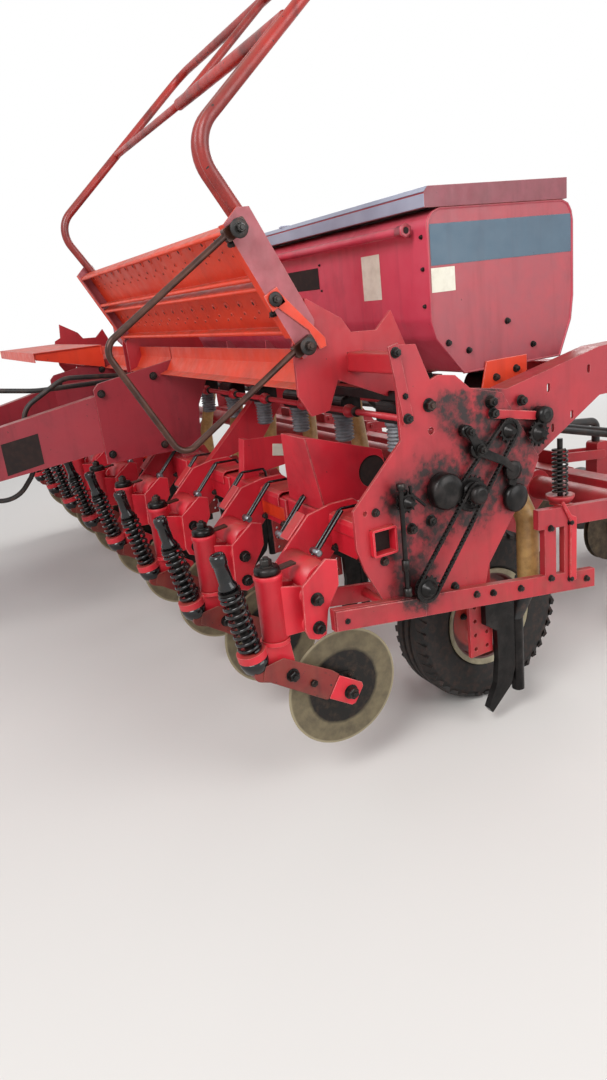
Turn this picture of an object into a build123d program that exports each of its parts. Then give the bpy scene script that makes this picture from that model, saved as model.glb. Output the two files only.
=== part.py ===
from build123d import *
import os
from math import acos, atan2, cos, hypot, radians, sin

os.makedirs("parts", exist_ok=True)

# Row crop planter, 1:1, in millimetres. X runs across the machine and +X is the near side.
# -Y is the front, where the drawbar is, and +Y the rear. Z is 0 on the ground under the tyres.

# Driving dimensions: rows and ground
ROW_COUNT = 9
ROW_PITCH = 600
FIT_GAP = 0.3
RUN_GAP = 6

# Driving dimensions: front toolbar
BAR_SIZE = 100
BAR_WALL = 8
BAR_CORNER = 10
BAR_Z = 976

# Driving dimensions: side plates and their rails
END_ROW_OUT = 100
SIDE_OUT = ROW_PITCH * (ROW_COUNT - 1) / 2 + END_ROW_OUT
BAR_PROUD = 20
BAR_HALF = SIDE_OUT + BAR_PROUD
SIDE_THICK = 12
RAIL_HEIGHT = 80
RAIL_THICK = 28
RAIL_FRONT = (-235, 752)
RAIL_REAR = (1010, 565)
ARM_FLANGE = 90

# Driving dimensions: shank bar and rear toolbar
SHANK_BAR_SIZE = 90
SHANK_BAR = (380, 800)
REAR_BAR = (1450, 800)
PLATFORM_BAR_SIZE = 70
PLATFORM_BAR = (150, 1560)
HOPPER_BAR_SIZE = 60
HOPPER_BAR_FRONT = (530, 1352)
HOPPER_BAR_REAR = (1140, 1400)

# Driving dimensions: hopper
HOPPER_HALF = 2260
HOPPER_WALL = 5
HOPPER_TOP = 2050
LID_GAP = 4
LID_THICK = 6
LID_HEIGHT = 70
METER_SPREAD = 0.9

# Driving dimensions: drawbar
DRAWBAR_X = 600
PLATE_THICK = 16
BEAM_WIDTH = 75
BEAM_ROOT_HEIGHT = 290
BEAM_TIP_HEIGHT = 190
BEAM_ROOT = (-465, 1285)
BEAM_TIP = (-2320, 985)
BEAM_TIP_X = 120
HITCH_Y = -2600
HITCH_Z = 480
HITCH_HOLE = 38

# Driving dimensions: parking jack
JACK_Y = -2000
JACK_TUBE_OD = 89
JACK_LEG_OD = 70
JACK_BOTTOM = 560
JACK_TOP = 1250
JACK_FOOT = 220
JACK_FOOT_THICK = 14
JACK_STROKE = 350

# Driving dimensions: coulter unit
COULTER_RADIUS = 228.5
COULTER_THICK = 5
COULTER_HUB = (-153, 414)
COULTER_DISC_X = -12
COULTER_AXLE = 30
ARM_PIVOT = (-376, 561)
ARM_THICK = 18
SWIVEL_Y = -404
SWIVEL_OD = 94
SWIVEL_Z = (700, 930)
RING_AT = (-500, 668)
ROD_LEAN = 10.6
ROD_OD = 36
ROD_TOP = 385
SPRING_OD = 86
SPRING_WIRE = 13
SPRING_COILS = 9
SPRING_PITCH = 26
LUG_HALF = 20

# Driving dimensions: ground wheels
WHEEL_X = 2150
WHEEL_Y = 690
TYRE_RADIUS = 385
TYRE_WIDTH = 200
RIM_RADIUS = 205
WHEEL_AXLE = 50

# Driving dimensions: seeding units
OPENER_HUB = (1960, 400)
OPENER_RADIUS = 190
PRESS_HUB = (2400, 350)
PRESS_RADIUS = 200
PRESS_WIDTH = 110
PRESS_AXLE = 24
LINK_LENGTH = 290

# Driving dimensions: folding platform
PIVOT = (-73, 1642)
FOLD_ANGLE = 62.4
PLATFORM_X = (20, 2200)
CHANNEL_THICK = 8
PLATFORM_LENGTH = 470
PLANK_WIDTH = 190
POST_OD = 42
RAIL_HEIGHT_UP = 1150

row_x = [ROW_PITCH * ((ROW_COUNT - 1) / 2 - row) for row in range(ROW_COUNT)]
all_rows = [(x, 0, 0) for x in row_x]


def side(x):
    """Plane across the machine at x: its sketch runs in Y and Z."""
    return Plane.YZ.offset(x)


def bar(p1, r1, p2, r2):
    """Round-ended bar between two points of a sketch, with its own end radii."""
    turn = atan2(p2[1] - p1[1], p2[0] - p1[0])
    open_angle = acos((r1 - r2) / hypot(p2[0] - p1[0], p2[1] - p1[1]))
    corners = []
    for centre, radius, sign in ((p1, r1, 1), (p2, r2, 1), (p2, r2, -1), (p1, r1, -1)):
        angle = turn + sign * open_angle
        corners.append((centre[0] + radius * cos(angle), centre[1] + radius * sin(angle)))
    Polygon(*corners, align=None)
    with Locations(p1):
        Circle(r1)
    with Locations(p2):
        Circle(r2)


def tube(points, bends, radius):
    """Round bar along straight runs joined by arcs, added to the open part."""
    with BuildLine() as route:
        FilletPolyline(*points, radius=bends)
    with BuildSketch(Plane(origin=route.line @ 0, z_dir=route.line % 0)) as section:
        Circle(radius)
    sweep(sections=section.sketch, path=route.line)


def save(builder, label):
    builder.part.label = label
    export_step(builder.part, f"parts/{label}.step")


# Front toolbar: square tube, open at its ends
with BuildPart() as front_toolbar:
    with BuildSketch(side(-BAR_HALF)):
        with Locations((0, BAR_Z)):
            RectangleRounded(BAR_SIZE, BAR_SIZE, BAR_CORNER)
            Rectangle(BAR_SIZE - 2 * BAR_WALL, BAR_SIZE - 2 * BAR_WALL, mode=Mode.SUBTRACT)
    extrude(amount=2 * BAR_HALF)
save(front_toolbar, "front_toolbar")

# Side plates: outlines in Y and Z, from the front corner round clockwise
side_outline = [
    (-106, 1104), (-106, 966), (-78, 880), (-8, 740), (30, 690), (300, 640), (440, 640),
    (470, 760), (700, 1060), (734, 1128), (560, 1400), (413, 1438), (349, 1492), (280, 1503),
    (242, 1491), (190, 1617), (101, 1624), (106, 1306),
]
plate_holes = [(240, 1403, 13), (234, 1318, 13), (154, 1380, 10), (-61, 1087, 9), (85, 1103, 14)]
EDGE_STRAP_THICK = 8
edge_strap = [(76, 1621), (115, 1630), (160, 1366), (121, 1357)]
with BuildPart() as side_plates:
    for plane_x in (SIDE_OUT - SIDE_THICK, -SIDE_OUT):
        with BuildSketch(side(plane_x)):
            Polygon(*side_outline, align=None)
            with Locations((0, BAR_Z)):
                Rectangle(BAR_SIZE, BAR_SIZE, mode=Mode.SUBTRACT)
            for hole_y, hole_z, hole_radius in plate_holes:
                with Locations((hole_y, hole_z)):
                    Circle(hole_radius, mode=Mode.SUBTRACT)
        extrude(amount=SIDE_THICK)
    for strap_x in (SIDE_OUT, -SIDE_OUT - EDGE_STRAP_THICK):
        with BuildSketch(side(strap_x)):
            Polygon(*edge_strap, align=None)
        extrude(amount=EDGE_STRAP_THICK)
save(side_plates, "side_plates")

# Lower side rails, their upper rear rails and the straps that join them
rail_slope = (RAIL_REAR[1] - RAIL_FRONT[1]) / (RAIL_REAR[0] - RAIL_FRONT[0])
REAR_RAIL = ((700, 885), (REAR_BAR[0] + BAR_SIZE / 2, 800))
STRAP_WIDTH = 60
strap_y = (762, 868)
with BuildPart() as side_rails:
    for sign in (1, -1):
        base_x = SIDE_OUT if sign > 0 else -SIDE_OUT - RAIL_THICK
        for front, rear in ((RAIL_FRONT, RAIL_REAR), REAR_RAIL):
            half = RAIL_HEIGHT / 2
            with BuildSketch(side(base_x)):
                Polygon((front[0], front[1] - half), (rear[0], rear[1] - half),
                        (rear[0], rear[1] + half), (front[0], front[1] + half), align=None)
            extrude(amount=RAIL_THICK)
        for strap in strap_y:
            low = RAIL_FRONT[1] + rail_slope * (strap - RAIL_FRONT[0])
            with BuildSketch(side(base_x)):
                with Locations((strap, (low + 880) / 2)):
                    Rectangle(STRAP_WIDTH, 880 - low)
            extrude(amount=RAIL_THICK)
save(side_rails, "side_rails")

# Arched rear arms: web inside the side plate, top flange turned inward
arch_top = [(413, 1438), (592, 1407), (1067, 1498), (1250, 1500), (1460, 1360), (1500, 1180)]
arch_holes = [(799, 1379), (819, 1223), (922, 1257), (1010, 1420)]
arch_foot = [(1500, REAR_BAR[1] + BAR_SIZE / 2), (1400, REAR_BAR[1] + BAR_SIZE / 2)]
arch_under = [(1390, 1120), (1300, 1260), (1180, 1310), (1071, 1310), (734, 1128), (420, 1080)]
with BuildPart() as rear_arms:
    for sign in (1, -1):
        web_x = SIDE_OUT - 2 * SIDE_THICK if sign > 0 else -SIDE_OUT + SIDE_THICK
        with BuildSketch(side(web_x)):
            Polygon(*arch_top, *arch_foot, *arch_under, align=None)
            with Locations(*arch_holes):
                SlotOverall(34, 16, rotation=90, mode=Mode.SUBTRACT)
        extrude(amount=SIDE_THICK)
        flange_x = web_x + SIDE_THICK - ARM_FLANGE if sign > 0 else web_x
        for start, end in zip(arch_top[1:-1], arch_top[2:]):
            with BuildSketch(side(flange_x)):
                Polygon(start, end, (end[0], end[1] - 10), (start[0], start[1] - 10), align=None)
            extrude(amount=ARM_FLANGE)
save(rear_arms, "rear_arms")

# Cross bars: shank bar, rear toolbar, platform bar and the two hopper bars
cross_bars = [
    (SHANK_BAR, SHANK_BAR_SIZE, SIDE_OUT - SIDE_THICK),
    (PLATFORM_BAR, PLATFORM_BAR_SIZE, SIDE_OUT - SIDE_THICK),
    (REAR_BAR, BAR_SIZE, SIDE_OUT),
    (HOPPER_BAR_FRONT, HOPPER_BAR_SIZE, SIDE_OUT - 2 * SIDE_THICK),
    (HOPPER_BAR_REAR, HOPPER_BAR_SIZE, SIDE_OUT - 2 * SIDE_THICK),
]
with BuildPart() as cross_tubes:
    for (bar_y, bar_z), size, half_length in cross_bars:
        with BuildSketch(side(-half_length)):
            with Locations((bar_y, bar_z)):
                RectangleRounded(size, size, BAR_CORNER)
                Rectangle(size - 2 * BAR_WALL, size - 2 * BAR_WALL, mode=Mode.SUBTRACT)
        extrude(amount=2 * half_length)
save(cross_tubes, "cross_tubes")

# Hopper: bent trough closed by two end plates
HOPPER_FLOOR = 1457
HOPPER_REAR = 1160
BELLY_FRONT = (462, 1600)
BELLY_REAR = (1150, 1600)
floor_y = (585, 1085)
HOPPER_FRONT = 440
LIP_BEND = 60
LIP_IN = 505
LIP_REAR = 1095
trough_outline = [
    (LIP_IN, HOPPER_TOP), (HOPPER_FRONT, HOPPER_TOP), (HOPPER_FRONT, 1670), BELLY_FRONT,
    (floor_y[0], HOPPER_FLOOR), (floor_y[1], HOPPER_FLOOR), BELLY_REAR, (HOPPER_REAR, 1680),
    (HOPPER_REAR, HOPPER_TOP), (LIP_REAR, HOPPER_TOP),
]
trough_bends = (LIP_BEND, 60, 60, 30, 30, 60, 60, LIP_BEND)
with BuildPart() as hopper_shell:
    with BuildSketch(side(-HOPPER_HALF)):
        with BuildLine():
            FilletPolyline(*trough_outline, radius=trough_bends)
            offset(amount=-HOPPER_WALL, side=Side.LEFT, closed=True)
        make_face()
    extrude(amount=2 * HOPPER_HALF)
    for plane_x in (HOPPER_HALF, -HOPPER_HALF - 6):
        with BuildSketch(side(plane_x)):
            with BuildLine():
                FilletPolyline(*trough_outline, radius=trough_bends)
                Line((LIP_REAR, HOPPER_TOP), (LIP_IN, HOPPER_TOP))
            make_face()
        extrude(amount=6)
save(hopper_shell, "hopper_shell")

# Hopper cradles: saddle plates from the cross bars up to the trough, and the lid's hinge ears
half_bar = HOPPER_BAR_SIZE / 2
front_seat = HOPPER_BAR_FRONT[1] + half_bar
rear_seat = HOPPER_BAR_REAR[1] + half_bar
cradle_outline = [
    (HOPPER_BAR_FRONT[0] - half_bar, front_seat), (HOPPER_BAR_FRONT[0] + half_bar, front_seat), (600, 1430),
    (1080, rear_seat), (HOPPER_BAR_REAR[0] + half_bar, rear_seat), (HOPPER_BAR_REAR[0] + half_bar, 1600),
    BELLY_REAR, (floor_y[1], HOPPER_FLOOR), (floor_y[0], HOPPER_FLOOR), BELLY_FRONT, (442, 1600), (442, 1500),
]
LID_HINGE = (1156, HOPPER_TOP + 30)
hinge_x = (-1800, -600, 600, 1800)
meter_x = [x * METER_SPREAD for x in row_x]
cradle_x = [(left + right) / 2 for left, right in zip(meter_x[1:], meter_x[:-1])]
with BuildPart() as hopper_brackets:
    for x in cradle_x:
        with BuildSketch(side(x)):
            Polygon(*cradle_outline, align=None)
        extrude(amount=8)
    for x in hinge_x:
        with BuildSketch(side(x - 60)):
            with Locations(LID_HINGE):
                Circle(6)
        extrude(amount=120)
        for ear_x in (x - 54, x + 42):
            with BuildSketch(side(ear_x)):
                Polygon((HOPPER_REAR, 1930), (HOPPER_REAR, HOPPER_TOP - 38), (LID_HINGE[0] - 9, LID_HINGE[1]),
                        (LID_HINGE[0] + 12, LID_HINGE[1]), (HOPPER_REAR + 24, 1930), align=None)
                with Locations(LID_HINGE):
                    Circle(12)
            extrude(amount=12)
save(hopper_brackets, "hopper_brackets")

# Handrail along the front of the hopper, on a bracket at each end and the middle
HANDRAIL_AT = (400, 1990)
HANDRAIL_OD = 34
HANDRAIL_HALF = 2190
RAIL_LUG = 24
with BuildPart() as hopper_handrail:
    with BuildSketch(side(-HANDRAIL_HALF)):
        with Locations(HANDRAIL_AT):
            Circle(HANDRAIL_OD / 2)
    extrude(amount=2 * HANDRAIL_HALF)
    for x in (-HANDRAIL_HALF + 20, -4, HANDRAIL_HALF - 28):
        with BuildSketch(side(x)):
            Polygon((388, 1978), (HOPPER_FRONT, HOPPER_TOP - LIP_BEND - RAIL_LUG),
                    (HOPPER_FRONT, HOPPER_TOP - LIP_BEND), (388, 2002), align=None)
        extrude(amount=8)
save(hopper_handrail, "hopper_handrail")

# Lid: shallow sheet with turned edges, hinged along the rear
LID_FRONT_Y = 432
LID_REAR_Y = 1122
LID_HALF = HOPPER_HALF + 14
lid_low = HOPPER_TOP + LID_GAP
with BuildPart() as hopper_lid:
    with BuildSketch(side(-LID_HALF)):
        Polygon((LID_FRONT_Y, lid_low), (LID_FRONT_Y, lid_low + LID_HEIGHT - 18),
                (LID_FRONT_Y + 18, lid_low + LID_HEIGHT), (LID_REAR_Y, lid_low + LID_HEIGHT + 6),
                (LID_REAR_Y, lid_low), align=None)
    extrude(amount=2 * LID_HALF)
    with BuildSketch(side(-LID_HALF + LID_THICK)):
        Polygon((LID_FRONT_Y + LID_THICK, lid_low - 5), (LID_FRONT_Y + LID_THICK, lid_low + LID_HEIGHT - 22),
                (LID_FRONT_Y + 22, lid_low + LID_HEIGHT - LID_THICK),
                (LID_REAR_Y - LID_THICK, lid_low + LID_HEIGHT),
                (LID_REAR_Y - LID_THICK, lid_low - 5), align=None)
    extrude(amount=2 * (LID_HALF - LID_THICK), mode=Mode.SUBTRACT)
    for x in hinge_x:
        with BuildSketch(side(x - 30)):
            bar((LID_REAR_Y - 2, LID_HINGE[1] + 8), 10, LID_HINGE, 12)
            with Locations(LID_HINGE):
                Circle(6 + FIT_GAP, mode=Mode.SUBTRACT)
        extrude(amount=60)
save(hopper_lid, "hopper_lid")

# Metering units: one dark housing a row under the hopper, on a common shaft
METER_Y = 800
METER_FOOT = 1260
METER_SHAFT = (METER_Y, 1372)
METER_FLANGE = 18
OUTLET_Y = (840, 925)
OUTLET_FOOT = 1305
with BuildPart() as meter_unit:
    with BuildSketch(side(-75)):
        with Locations(METER_SHAFT):
            Circle(72)
        with Locations((METER_Y, HOPPER_FLOOR - METER_FLANGE / 2)):
            Rectangle(190, METER_FLANGE)
        with Locations((METER_Y, METER_FOOT + 30)):
            Rectangle(100, 60)
        with Locations((sum(OUTLET_Y) / 2, OUTLET_FOOT + 40)):
            Rectangle(OUTLET_Y[1] - OUTLET_Y[0], 80)
    extrude(amount=150)
with BuildPart() as metering_units:
    with Locations(*[(x, 0, 0) for x in meter_x]):
        add(meter_unit.part)
save(metering_units, "metering_units")

# Coulter clamp: front flange, two tapering plates, cross tube, swivel tube, rear plate and bolts
CLAMP_OUT = 86
CLAMP_IN = 162
CLAMP_HEIGHT = 160
CLAMP_THICK = 12
CLAMP_BOLT = 8
PLATE_BOLT = 17
CROSS_TUBE = (-262, 850)
CAP_HALF = 60
CAP_HEIGHT = 34
bar_front = -BAR_SIZE / 2
bar_rear = BAR_SIZE / 2
clamp_middle = (CLAMP_OUT - CLAMP_IN) / 2
clamp_width = CLAMP_OUT + CLAMP_IN
with BuildPart() as clamp_unit:
    with BuildSketch(Plane.XZ.offset(-bar_front)):
        with Locations((clamp_middle, BAR_Z)):
            Rectangle(clamp_width, CLAMP_HEIGHT)
    extrude(amount=CLAMP_THICK)
    for plate_x in (CLAMP_OUT - CLAMP_THICK, -CLAMP_IN):
        with BuildSketch(side(plate_x)) as clamp_plate:
            Polygon((bar_front - 2, 1052), (bar_front - 2, 900), (-215, 690), (-318, 700),
                    (-322, 885), (-225, 1005), (-120, 1052), align=None)
            fillet(clamp_plate.vertices().sort_by(Axis.X)[:4], radius=28)
        extrude(amount=CLAMP_THICK)
    with BuildSketch(side(-CLAMP_IN)):
        with Locations(CROSS_TUBE):
            Circle(36)
    extrude(amount=clamp_width)
    for bolt_y, bolt_z in ((-272, 832), (-276, 728)):
        with BuildSketch(side(CLAMP_OUT)):
            with Locations((bolt_y, bolt_z)):
                RegularPolygon(PLATE_BOLT, 6)
        extrude(amount=12)
    for web_z in (745, 860):
        with BuildSketch(Plane.XY.offset(web_z)):
            with Locations((clamp_middle, (SWIVEL_Y - 300) / 2)):
                Rectangle(clamp_width, -SWIVEL_Y - 300)
        extrude(amount=CLAMP_THICK)
    with BuildSketch(Plane.XY.offset(SWIVEL_Z[0])):
        with Locations((0, SWIVEL_Y)):
            Circle(SWIVEL_OD / 2)
    extrude(amount=SWIVEL_Z[1] - SWIVEL_Z[0])
    with BuildSketch(Plane.XY.offset(SWIVEL_Z[1])):
        with Locations((0, SWIVEL_Y)):
            Circle(SWIVEL_OD / 2 + 5)
    extrude(amount=8)
    with BuildSketch(Plane.XY.offset(SWIVEL_Z[1] + 8)):
        with Locations((0, SWIVEL_Y)):
            RegularPolygon(24, 6)
    extrude(amount=16)
    with BuildSketch(Plane.XZ.offset(-bar_rear)):
        with Locations((clamp_middle, BAR_Z)):
            Rectangle(clamp_width, CLAMP_HEIGHT)
    extrude(amount=-CLAMP_THICK)
    bolt_reach = bar_rear + CLAMP_THICK + 14
    with BuildSketch(Plane.XZ.offset(-bolt_reach)):
        for bolt_x in (CLAMP_OUT - CLAMP_THICK - 20, CLAMP_THICK + 20 - CLAMP_IN):
            for bolt_z in (BAR_Z - bar_rear - CLAMP_BOLT - 1, BAR_Z + bar_rear + CLAMP_BOLT + 1):
                with Locations((bolt_x, bolt_z)):
                    Circle(CLAMP_BOLT)
    extrude(amount=2 * bolt_reach)
with BuildPart() as cap_unit:
    with BuildSketch(Plane.XY.offset(BAR_Z + bar_rear)):
        Rectangle(2 * CAP_HALF, BAR_SIZE + 2 * CLAMP_THICK)
    extrude(amount=CAP_HEIGHT)
with BuildPart() as coulter_clamps:
    for x in row_x:
        with Locations((x, 0, 0)):
            add(clamp_unit.part if x > row_x[-1] else clamp_unit.part.mirror(Plane.YZ))
            if abs(abs(x) - DRAWBAR_X) > CAP_HALF:
                add(cap_unit.part)
save(coulter_clamps, "coulter_clamps")

# Swivel bracket: head plate under the swivel tube, ring carrier, pivot lug and pin
lean = radians(ROD_LEAN)
rod_plane = Plane(origin=(0, RING_AT[0], RING_AT[1]), x_dir=(1, 0, 0), z_dir=(0, -sin(lean), cos(lean)))
RING_THICK = 28
with BuildPart() as bracket_unit:
    with BuildSketch(Plane.XY.offset(SWIVEL_Z[0])):
        with Locations((0, SWIVEL_Y)):
            Circle(SWIVEL_OD / 2 + 3)
    extrude(amount=-16)
    with BuildSketch(side(-LUG_HALF)):
        Polygon((-448, SWIVEL_Z[0] - 8), (-362, SWIVEL_Z[0] - 8), (-346, 561), (-404, 561),
                (-470, 640), (-470, 668), align=None)
        with Locations(ARM_PIVOT):
            Circle(30)
    extrude(amount=2 * LUG_HALF)
    with BuildSketch(rod_plane.offset(-RING_THICK / 2)):
        Circle(52)
        with Locations((0, 46)):
            Rectangle(2 * LUG_HALF, 40)
        Circle(ROD_OD / 2 + 3, mode=Mode.SUBTRACT)
    extrude(amount=RING_THICK)
    with BuildSketch(side(-LUG_HALF - ARM_THICK - 14)):
        with Locations(ARM_PIVOT):
            Circle(12)
    extrude(amount=2 * (LUG_HALF + ARM_THICK + 14))
with BuildPart() as coulter_brackets:
    with Locations(*all_rows):
        add(bracket_unit.part)
save(coulter_brackets, "coulter_brackets")

# Arm: yoke in front, a cheek each side of the lug, swan neck to the stub axle
YOKE_AT = (-487, 600)
ARM_IN = LUG_HALF + FIT_GAP
yoke_seat = -48
with BuildPart() as arm_unit:
    for cheek_x in (ARM_IN, -ARM_IN - ARM_THICK):
        with BuildSketch(side(cheek_x)):
            bar(ARM_PIVOT, 32, YOKE_AT, 28)
            with Locations(ARM_PIVOT):
                Circle(12 + FIT_GAP, mode=Mode.SUBTRACT)
        extrude(amount=ARM_THICK)
    with BuildSketch(side(-ARM_IN - ARM_THICK)):
        with Locations(YOKE_AT):
            Circle(28)
    extrude(amount=2 * (ARM_IN + ARM_THICK))
    with BuildSketch(side(ARM_IN)):
        bar(ARM_PIVOT, 32, (-300, 505), 27)
        bar((-300, 505), 27, (-215, 452), 27)
        bar((-215, 452), 27, COULTER_HUB, 38)
        with Locations(ARM_PIVOT):
            Circle(12 + FIT_GAP, mode=Mode.SUBTRACT)
    extrude(amount=ARM_THICK)
    with BuildSketch(side(ARM_IN)):
        with Locations(COULTER_HUB):
            Circle(COULTER_AXLE / 2)
    extrude(amount=-ARM_IN - 40)
    with BuildSketch(side(-40)):
        with Locations(COULTER_HUB):
            Circle(COULTER_AXLE / 2 + 6)
    extrude(amount=8)
    with BuildSketch(rod_plane.offset(yoke_seat)):
        Rectangle(200, 40)
    extrude(amount=60, mode=Mode.SUBTRACT)
with BuildPart() as coulter_arms:
    with Locations(*all_rows):
        add(arm_unit.part)
save(coulter_arms, "coulter_arms")

# Rod through the ring, from the yoke to its cap, with the spring's upper seat
spring_foot = RING_THICK / 2
SPRING_LENGTH = SPRING_PITCH * SPRING_COILS
with BuildPart() as rod_unit:
    with BuildSketch(rod_plane.offset(yoke_seat)):
        Circle(ROD_OD / 2)
    extrude(amount=ROD_TOP - yoke_seat)
    with BuildSketch(rod_plane.offset(spring_foot + SPRING_LENGTH)):
        Circle(SPRING_OD / 2 - 4)
    extrude(amount=8)
    with BuildSketch(rod_plane.offset(spring_foot + SPRING_LENGTH + 8)):
        RegularPolygon(28, 6)
    extrude(amount=22)
    with BuildSketch(rod_plane.offset(ROD_TOP - 26)):
        RegularPolygon(25, 6)
    extrude(amount=26)
with BuildPart() as coulter_rods:
    with Locations(*all_rows):
        add(rod_unit.part)
save(coulter_rods, "coulter_rods")

# Spring: closed coils as rounded ridges on a sleeve round the rod
coil_out = SPRING_OD / 2
coil_in = coil_out - SPRING_WIRE
with BuildPart() as spring_unit:
    with BuildSketch(Plane(origin=rod_plane.origin, x_dir=(1, 0, 0), z_dir=rod_plane.y_dir)):
        coil_points = [(coil_in, -spring_foot)]
        for coil in range(SPRING_COILS):
            foot = -spring_foot - coil * SPRING_PITCH
            coil_points += [
                (coil_out - 5, foot),
                (coil_out, foot - 4),
                (coil_out, foot - SPRING_WIRE + 2),
                (coil_out - 5, foot - SPRING_WIRE - 2),
                (coil_in + 3, foot - SPRING_WIRE - 4),
                (coil_in + 3, foot - SPRING_PITCH),
            ]
        coil_points.append((coil_in, -spring_foot - SPRING_LENGTH))
        Polygon(*coil_points, align=None)
    revolve(axis=Axis(rod_plane.origin, rod_plane.z_dir))
with BuildPart() as coulter_springs:
    with Locations(*all_rows):
        add(spring_unit.part)
save(coulter_springs, "coulter_springs")

# Coulter discs: sharp-edged disc on a turning hub
hub_far = COULTER_DISC_X - 20
hub_near = ARM_IN - RUN_GAP
disc_half = COULTER_THICK / 2
disc_profile = [
    (COULTER_AXLE / 2 + FIT_GAP, hub_far), (38, hub_far), (38, COULTER_DISC_X - 9),
    (62, COULTER_DISC_X - 9), (62, COULTER_DISC_X - disc_half),
    (COULTER_RADIUS - 14, COULTER_DISC_X - disc_half), (COULTER_RADIUS, COULTER_DISC_X - 0.6),
    (COULTER_RADIUS, COULTER_DISC_X + 0.6), (COULTER_RADIUS - 14, COULTER_DISC_X + disc_half),
    (62, COULTER_DISC_X + disc_half), (62, COULTER_DISC_X + 11), (36, COULTER_DISC_X + 11),
    (36, hub_near), (COULTER_AXLE / 2 + FIT_GAP, hub_near),
]
for number, x in enumerate(row_x, start=1):
    hub_plane = Plane(origin=(x, COULTER_HUB[0], COULTER_HUB[1]), x_dir=(0, 0, 1), z_dir=(0, 1, 0))
    with BuildPart() as coulter_disc:
        with BuildSketch(hub_plane):
            Polygon(*disc_profile, align=None)
        revolve(axis=Axis(hub_plane.origin, (1, 0, 0)))
    save(coulter_disc, f"coulter_disc_{number}")

# Ground wheels: ribbed implement tyre on a dished rim, one wheel near each end
tyre_half = TYRE_WIDTH / 2
tyre_profile = [
    (RIM_RADIUS + 3, -tyre_half + 25), (RIM_RADIUS + 28, -tyre_half + 10), (300, -tyre_half),
    (345, -tyre_half + 3), (370, -tyre_half + 14), (TYRE_RADIUS, -62), (TYRE_RADIUS, -30),
    (TYRE_RADIUS - 13, -26), (TYRE_RADIUS - 13, -16), (TYRE_RADIUS, -12), (TYRE_RADIUS, 12),
    (TYRE_RADIUS - 13, 16), (TYRE_RADIUS - 13, 26), (TYRE_RADIUS, 30), (TYRE_RADIUS, 62),
    (370, tyre_half - 14), (345, tyre_half - 3), (300, tyre_half), (RIM_RADIUS + 28, tyre_half - 10),
    (RIM_RADIUS + 3, tyre_half - 25),
]
axle_in = WHEEL_AXLE / 2 + FIT_GAP
rim_outline = [
    (axle_in, -90), (62, -90), (62, -4), (140, 12), (170, 24), (190, 20), (190, -78),
    (RIM_RADIUS + 16, -94), (RIM_RADIUS + 16, -86), (RIM_RADIUS + 2, -76), (RIM_RADIUS + 2, 76),
    (RIM_RADIUS + 16, 86), (RIM_RADIUS + 16, 94), (190, 78), (184, 40), (150, 24), (95, 12),
    (62, 12), (62, 60), (axle_in, 60),
]
for side_name, sign in (("near", 1), ("far", -1)):
    wheel_plane = Plane(origin=(sign * WHEEL_X, WHEEL_Y, TYRE_RADIUS), x_dir=(0, 0, 1), z_dir=(0, sign, 0))
    with BuildPart() as wheel_tyre:
        with BuildSketch(wheel_plane):
            Polygon(*tyre_profile, align=None)
        revolve(axis=Axis(wheel_plane.origin, (1, 0, 0)))
    save(wheel_tyre, f"wheel_tyre_{side_name}")
    with BuildPart() as wheel_rim:
        with BuildSketch(wheel_plane):
            Polygon(*rim_outline, align=None)
        revolve(axis=Axis(wheel_plane.origin, (1, 0, 0)))
    save(wheel_rim, f"wheel_rim_{side_name}")

# Wheel carriers: rockshaft across the frame, an arm down to each stub axle
ROCKSHAFT = (1180, 835)
ROCKSHAFT_OD = 110
CARRIER_THICK = 25
carrier_in = WHEEL_X - tyre_half - 10 - CARRIER_THICK
with BuildPart() as wheel_carriers:
    with BuildSketch(side(-SIDE_OUT)):
        with Locations(ROCKSHAFT):
            Circle(ROCKSHAFT_OD / 2)
            Circle(ROCKSHAFT_OD / 2 - BAR_WALL, mode=Mode.SUBTRACT)
    extrude(amount=2 * SIDE_OUT)
    for sign in (1, -1):
        with BuildSketch(side(sign * carrier_in)):
            bar((WHEEL_Y, TYRE_RADIUS), 58, ROCKSHAFT, 80)
            with Locations(ROCKSHAFT):
                Circle(ROCKSHAFT_OD / 2 - 1, mode=Mode.SUBTRACT)
        extrude(amount=sign * CARRIER_THICK)
        with BuildSketch(side(sign * carrier_in)):
            with Locations((WHEEL_Y, TYRE_RADIUS)):
                Circle(WHEEL_AXLE / 2)
        extrude(amount=sign * (WHEEL_X + 66 - carrier_in))
        with BuildSketch(side(sign * (WHEEL_X + 66))):
            with Locations((WHEEL_Y, TYRE_RADIUS)):
                Circle(WHEEL_AXLE / 2 + 14)
        extrude(amount=sign * 12)
save(wheel_carriers, "wheel_carriers")

# Shank brackets: perforated plate behind the shank bar, clamped round it
bar_back = SHANK_BAR[0] + SHANK_BAR_SIZE / 2
bar_face = SHANK_BAR[0] - SHANK_BAR_SIZE / 2
SHANK_PLATE = 16
with BuildPart() as shank_bracket_unit:
    with BuildSketch(side(-SHANK_PLATE / 2)):
        Polygon((bar_back, 852), (515, 852), (554, 780), (554, 332), (441, 332), (441, 740),
                (bar_back, 750), align=None)
        with Locations(*[(y, 365 + 62 * step) for step in range(6) for y in (468, 527)]):
            Circle(9, mode=Mode.SUBTRACT)
    extrude(amount=SHANK_PLATE)
    for plane_y, depth in ((bar_back, 12), (bar_face - 12, 12)):
        with BuildSketch(Plane.XZ.offset(-plane_y)):
            with Locations((0, SHANK_BAR[1])):
                Rectangle(120, 130)
        extrude(amount=-depth)
    with BuildSketch(Plane.XZ.offset(-bar_face + 26)):
        for bolt_x in (-42, 42):
            for bolt_z in (SHANK_BAR[1] - 54, SHANK_BAR[1] + 54):
                with Locations((bolt_x, bolt_z)):
                    Circle(7)
    extrude(amount=-SHANK_BAR_SIZE - 52)
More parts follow.
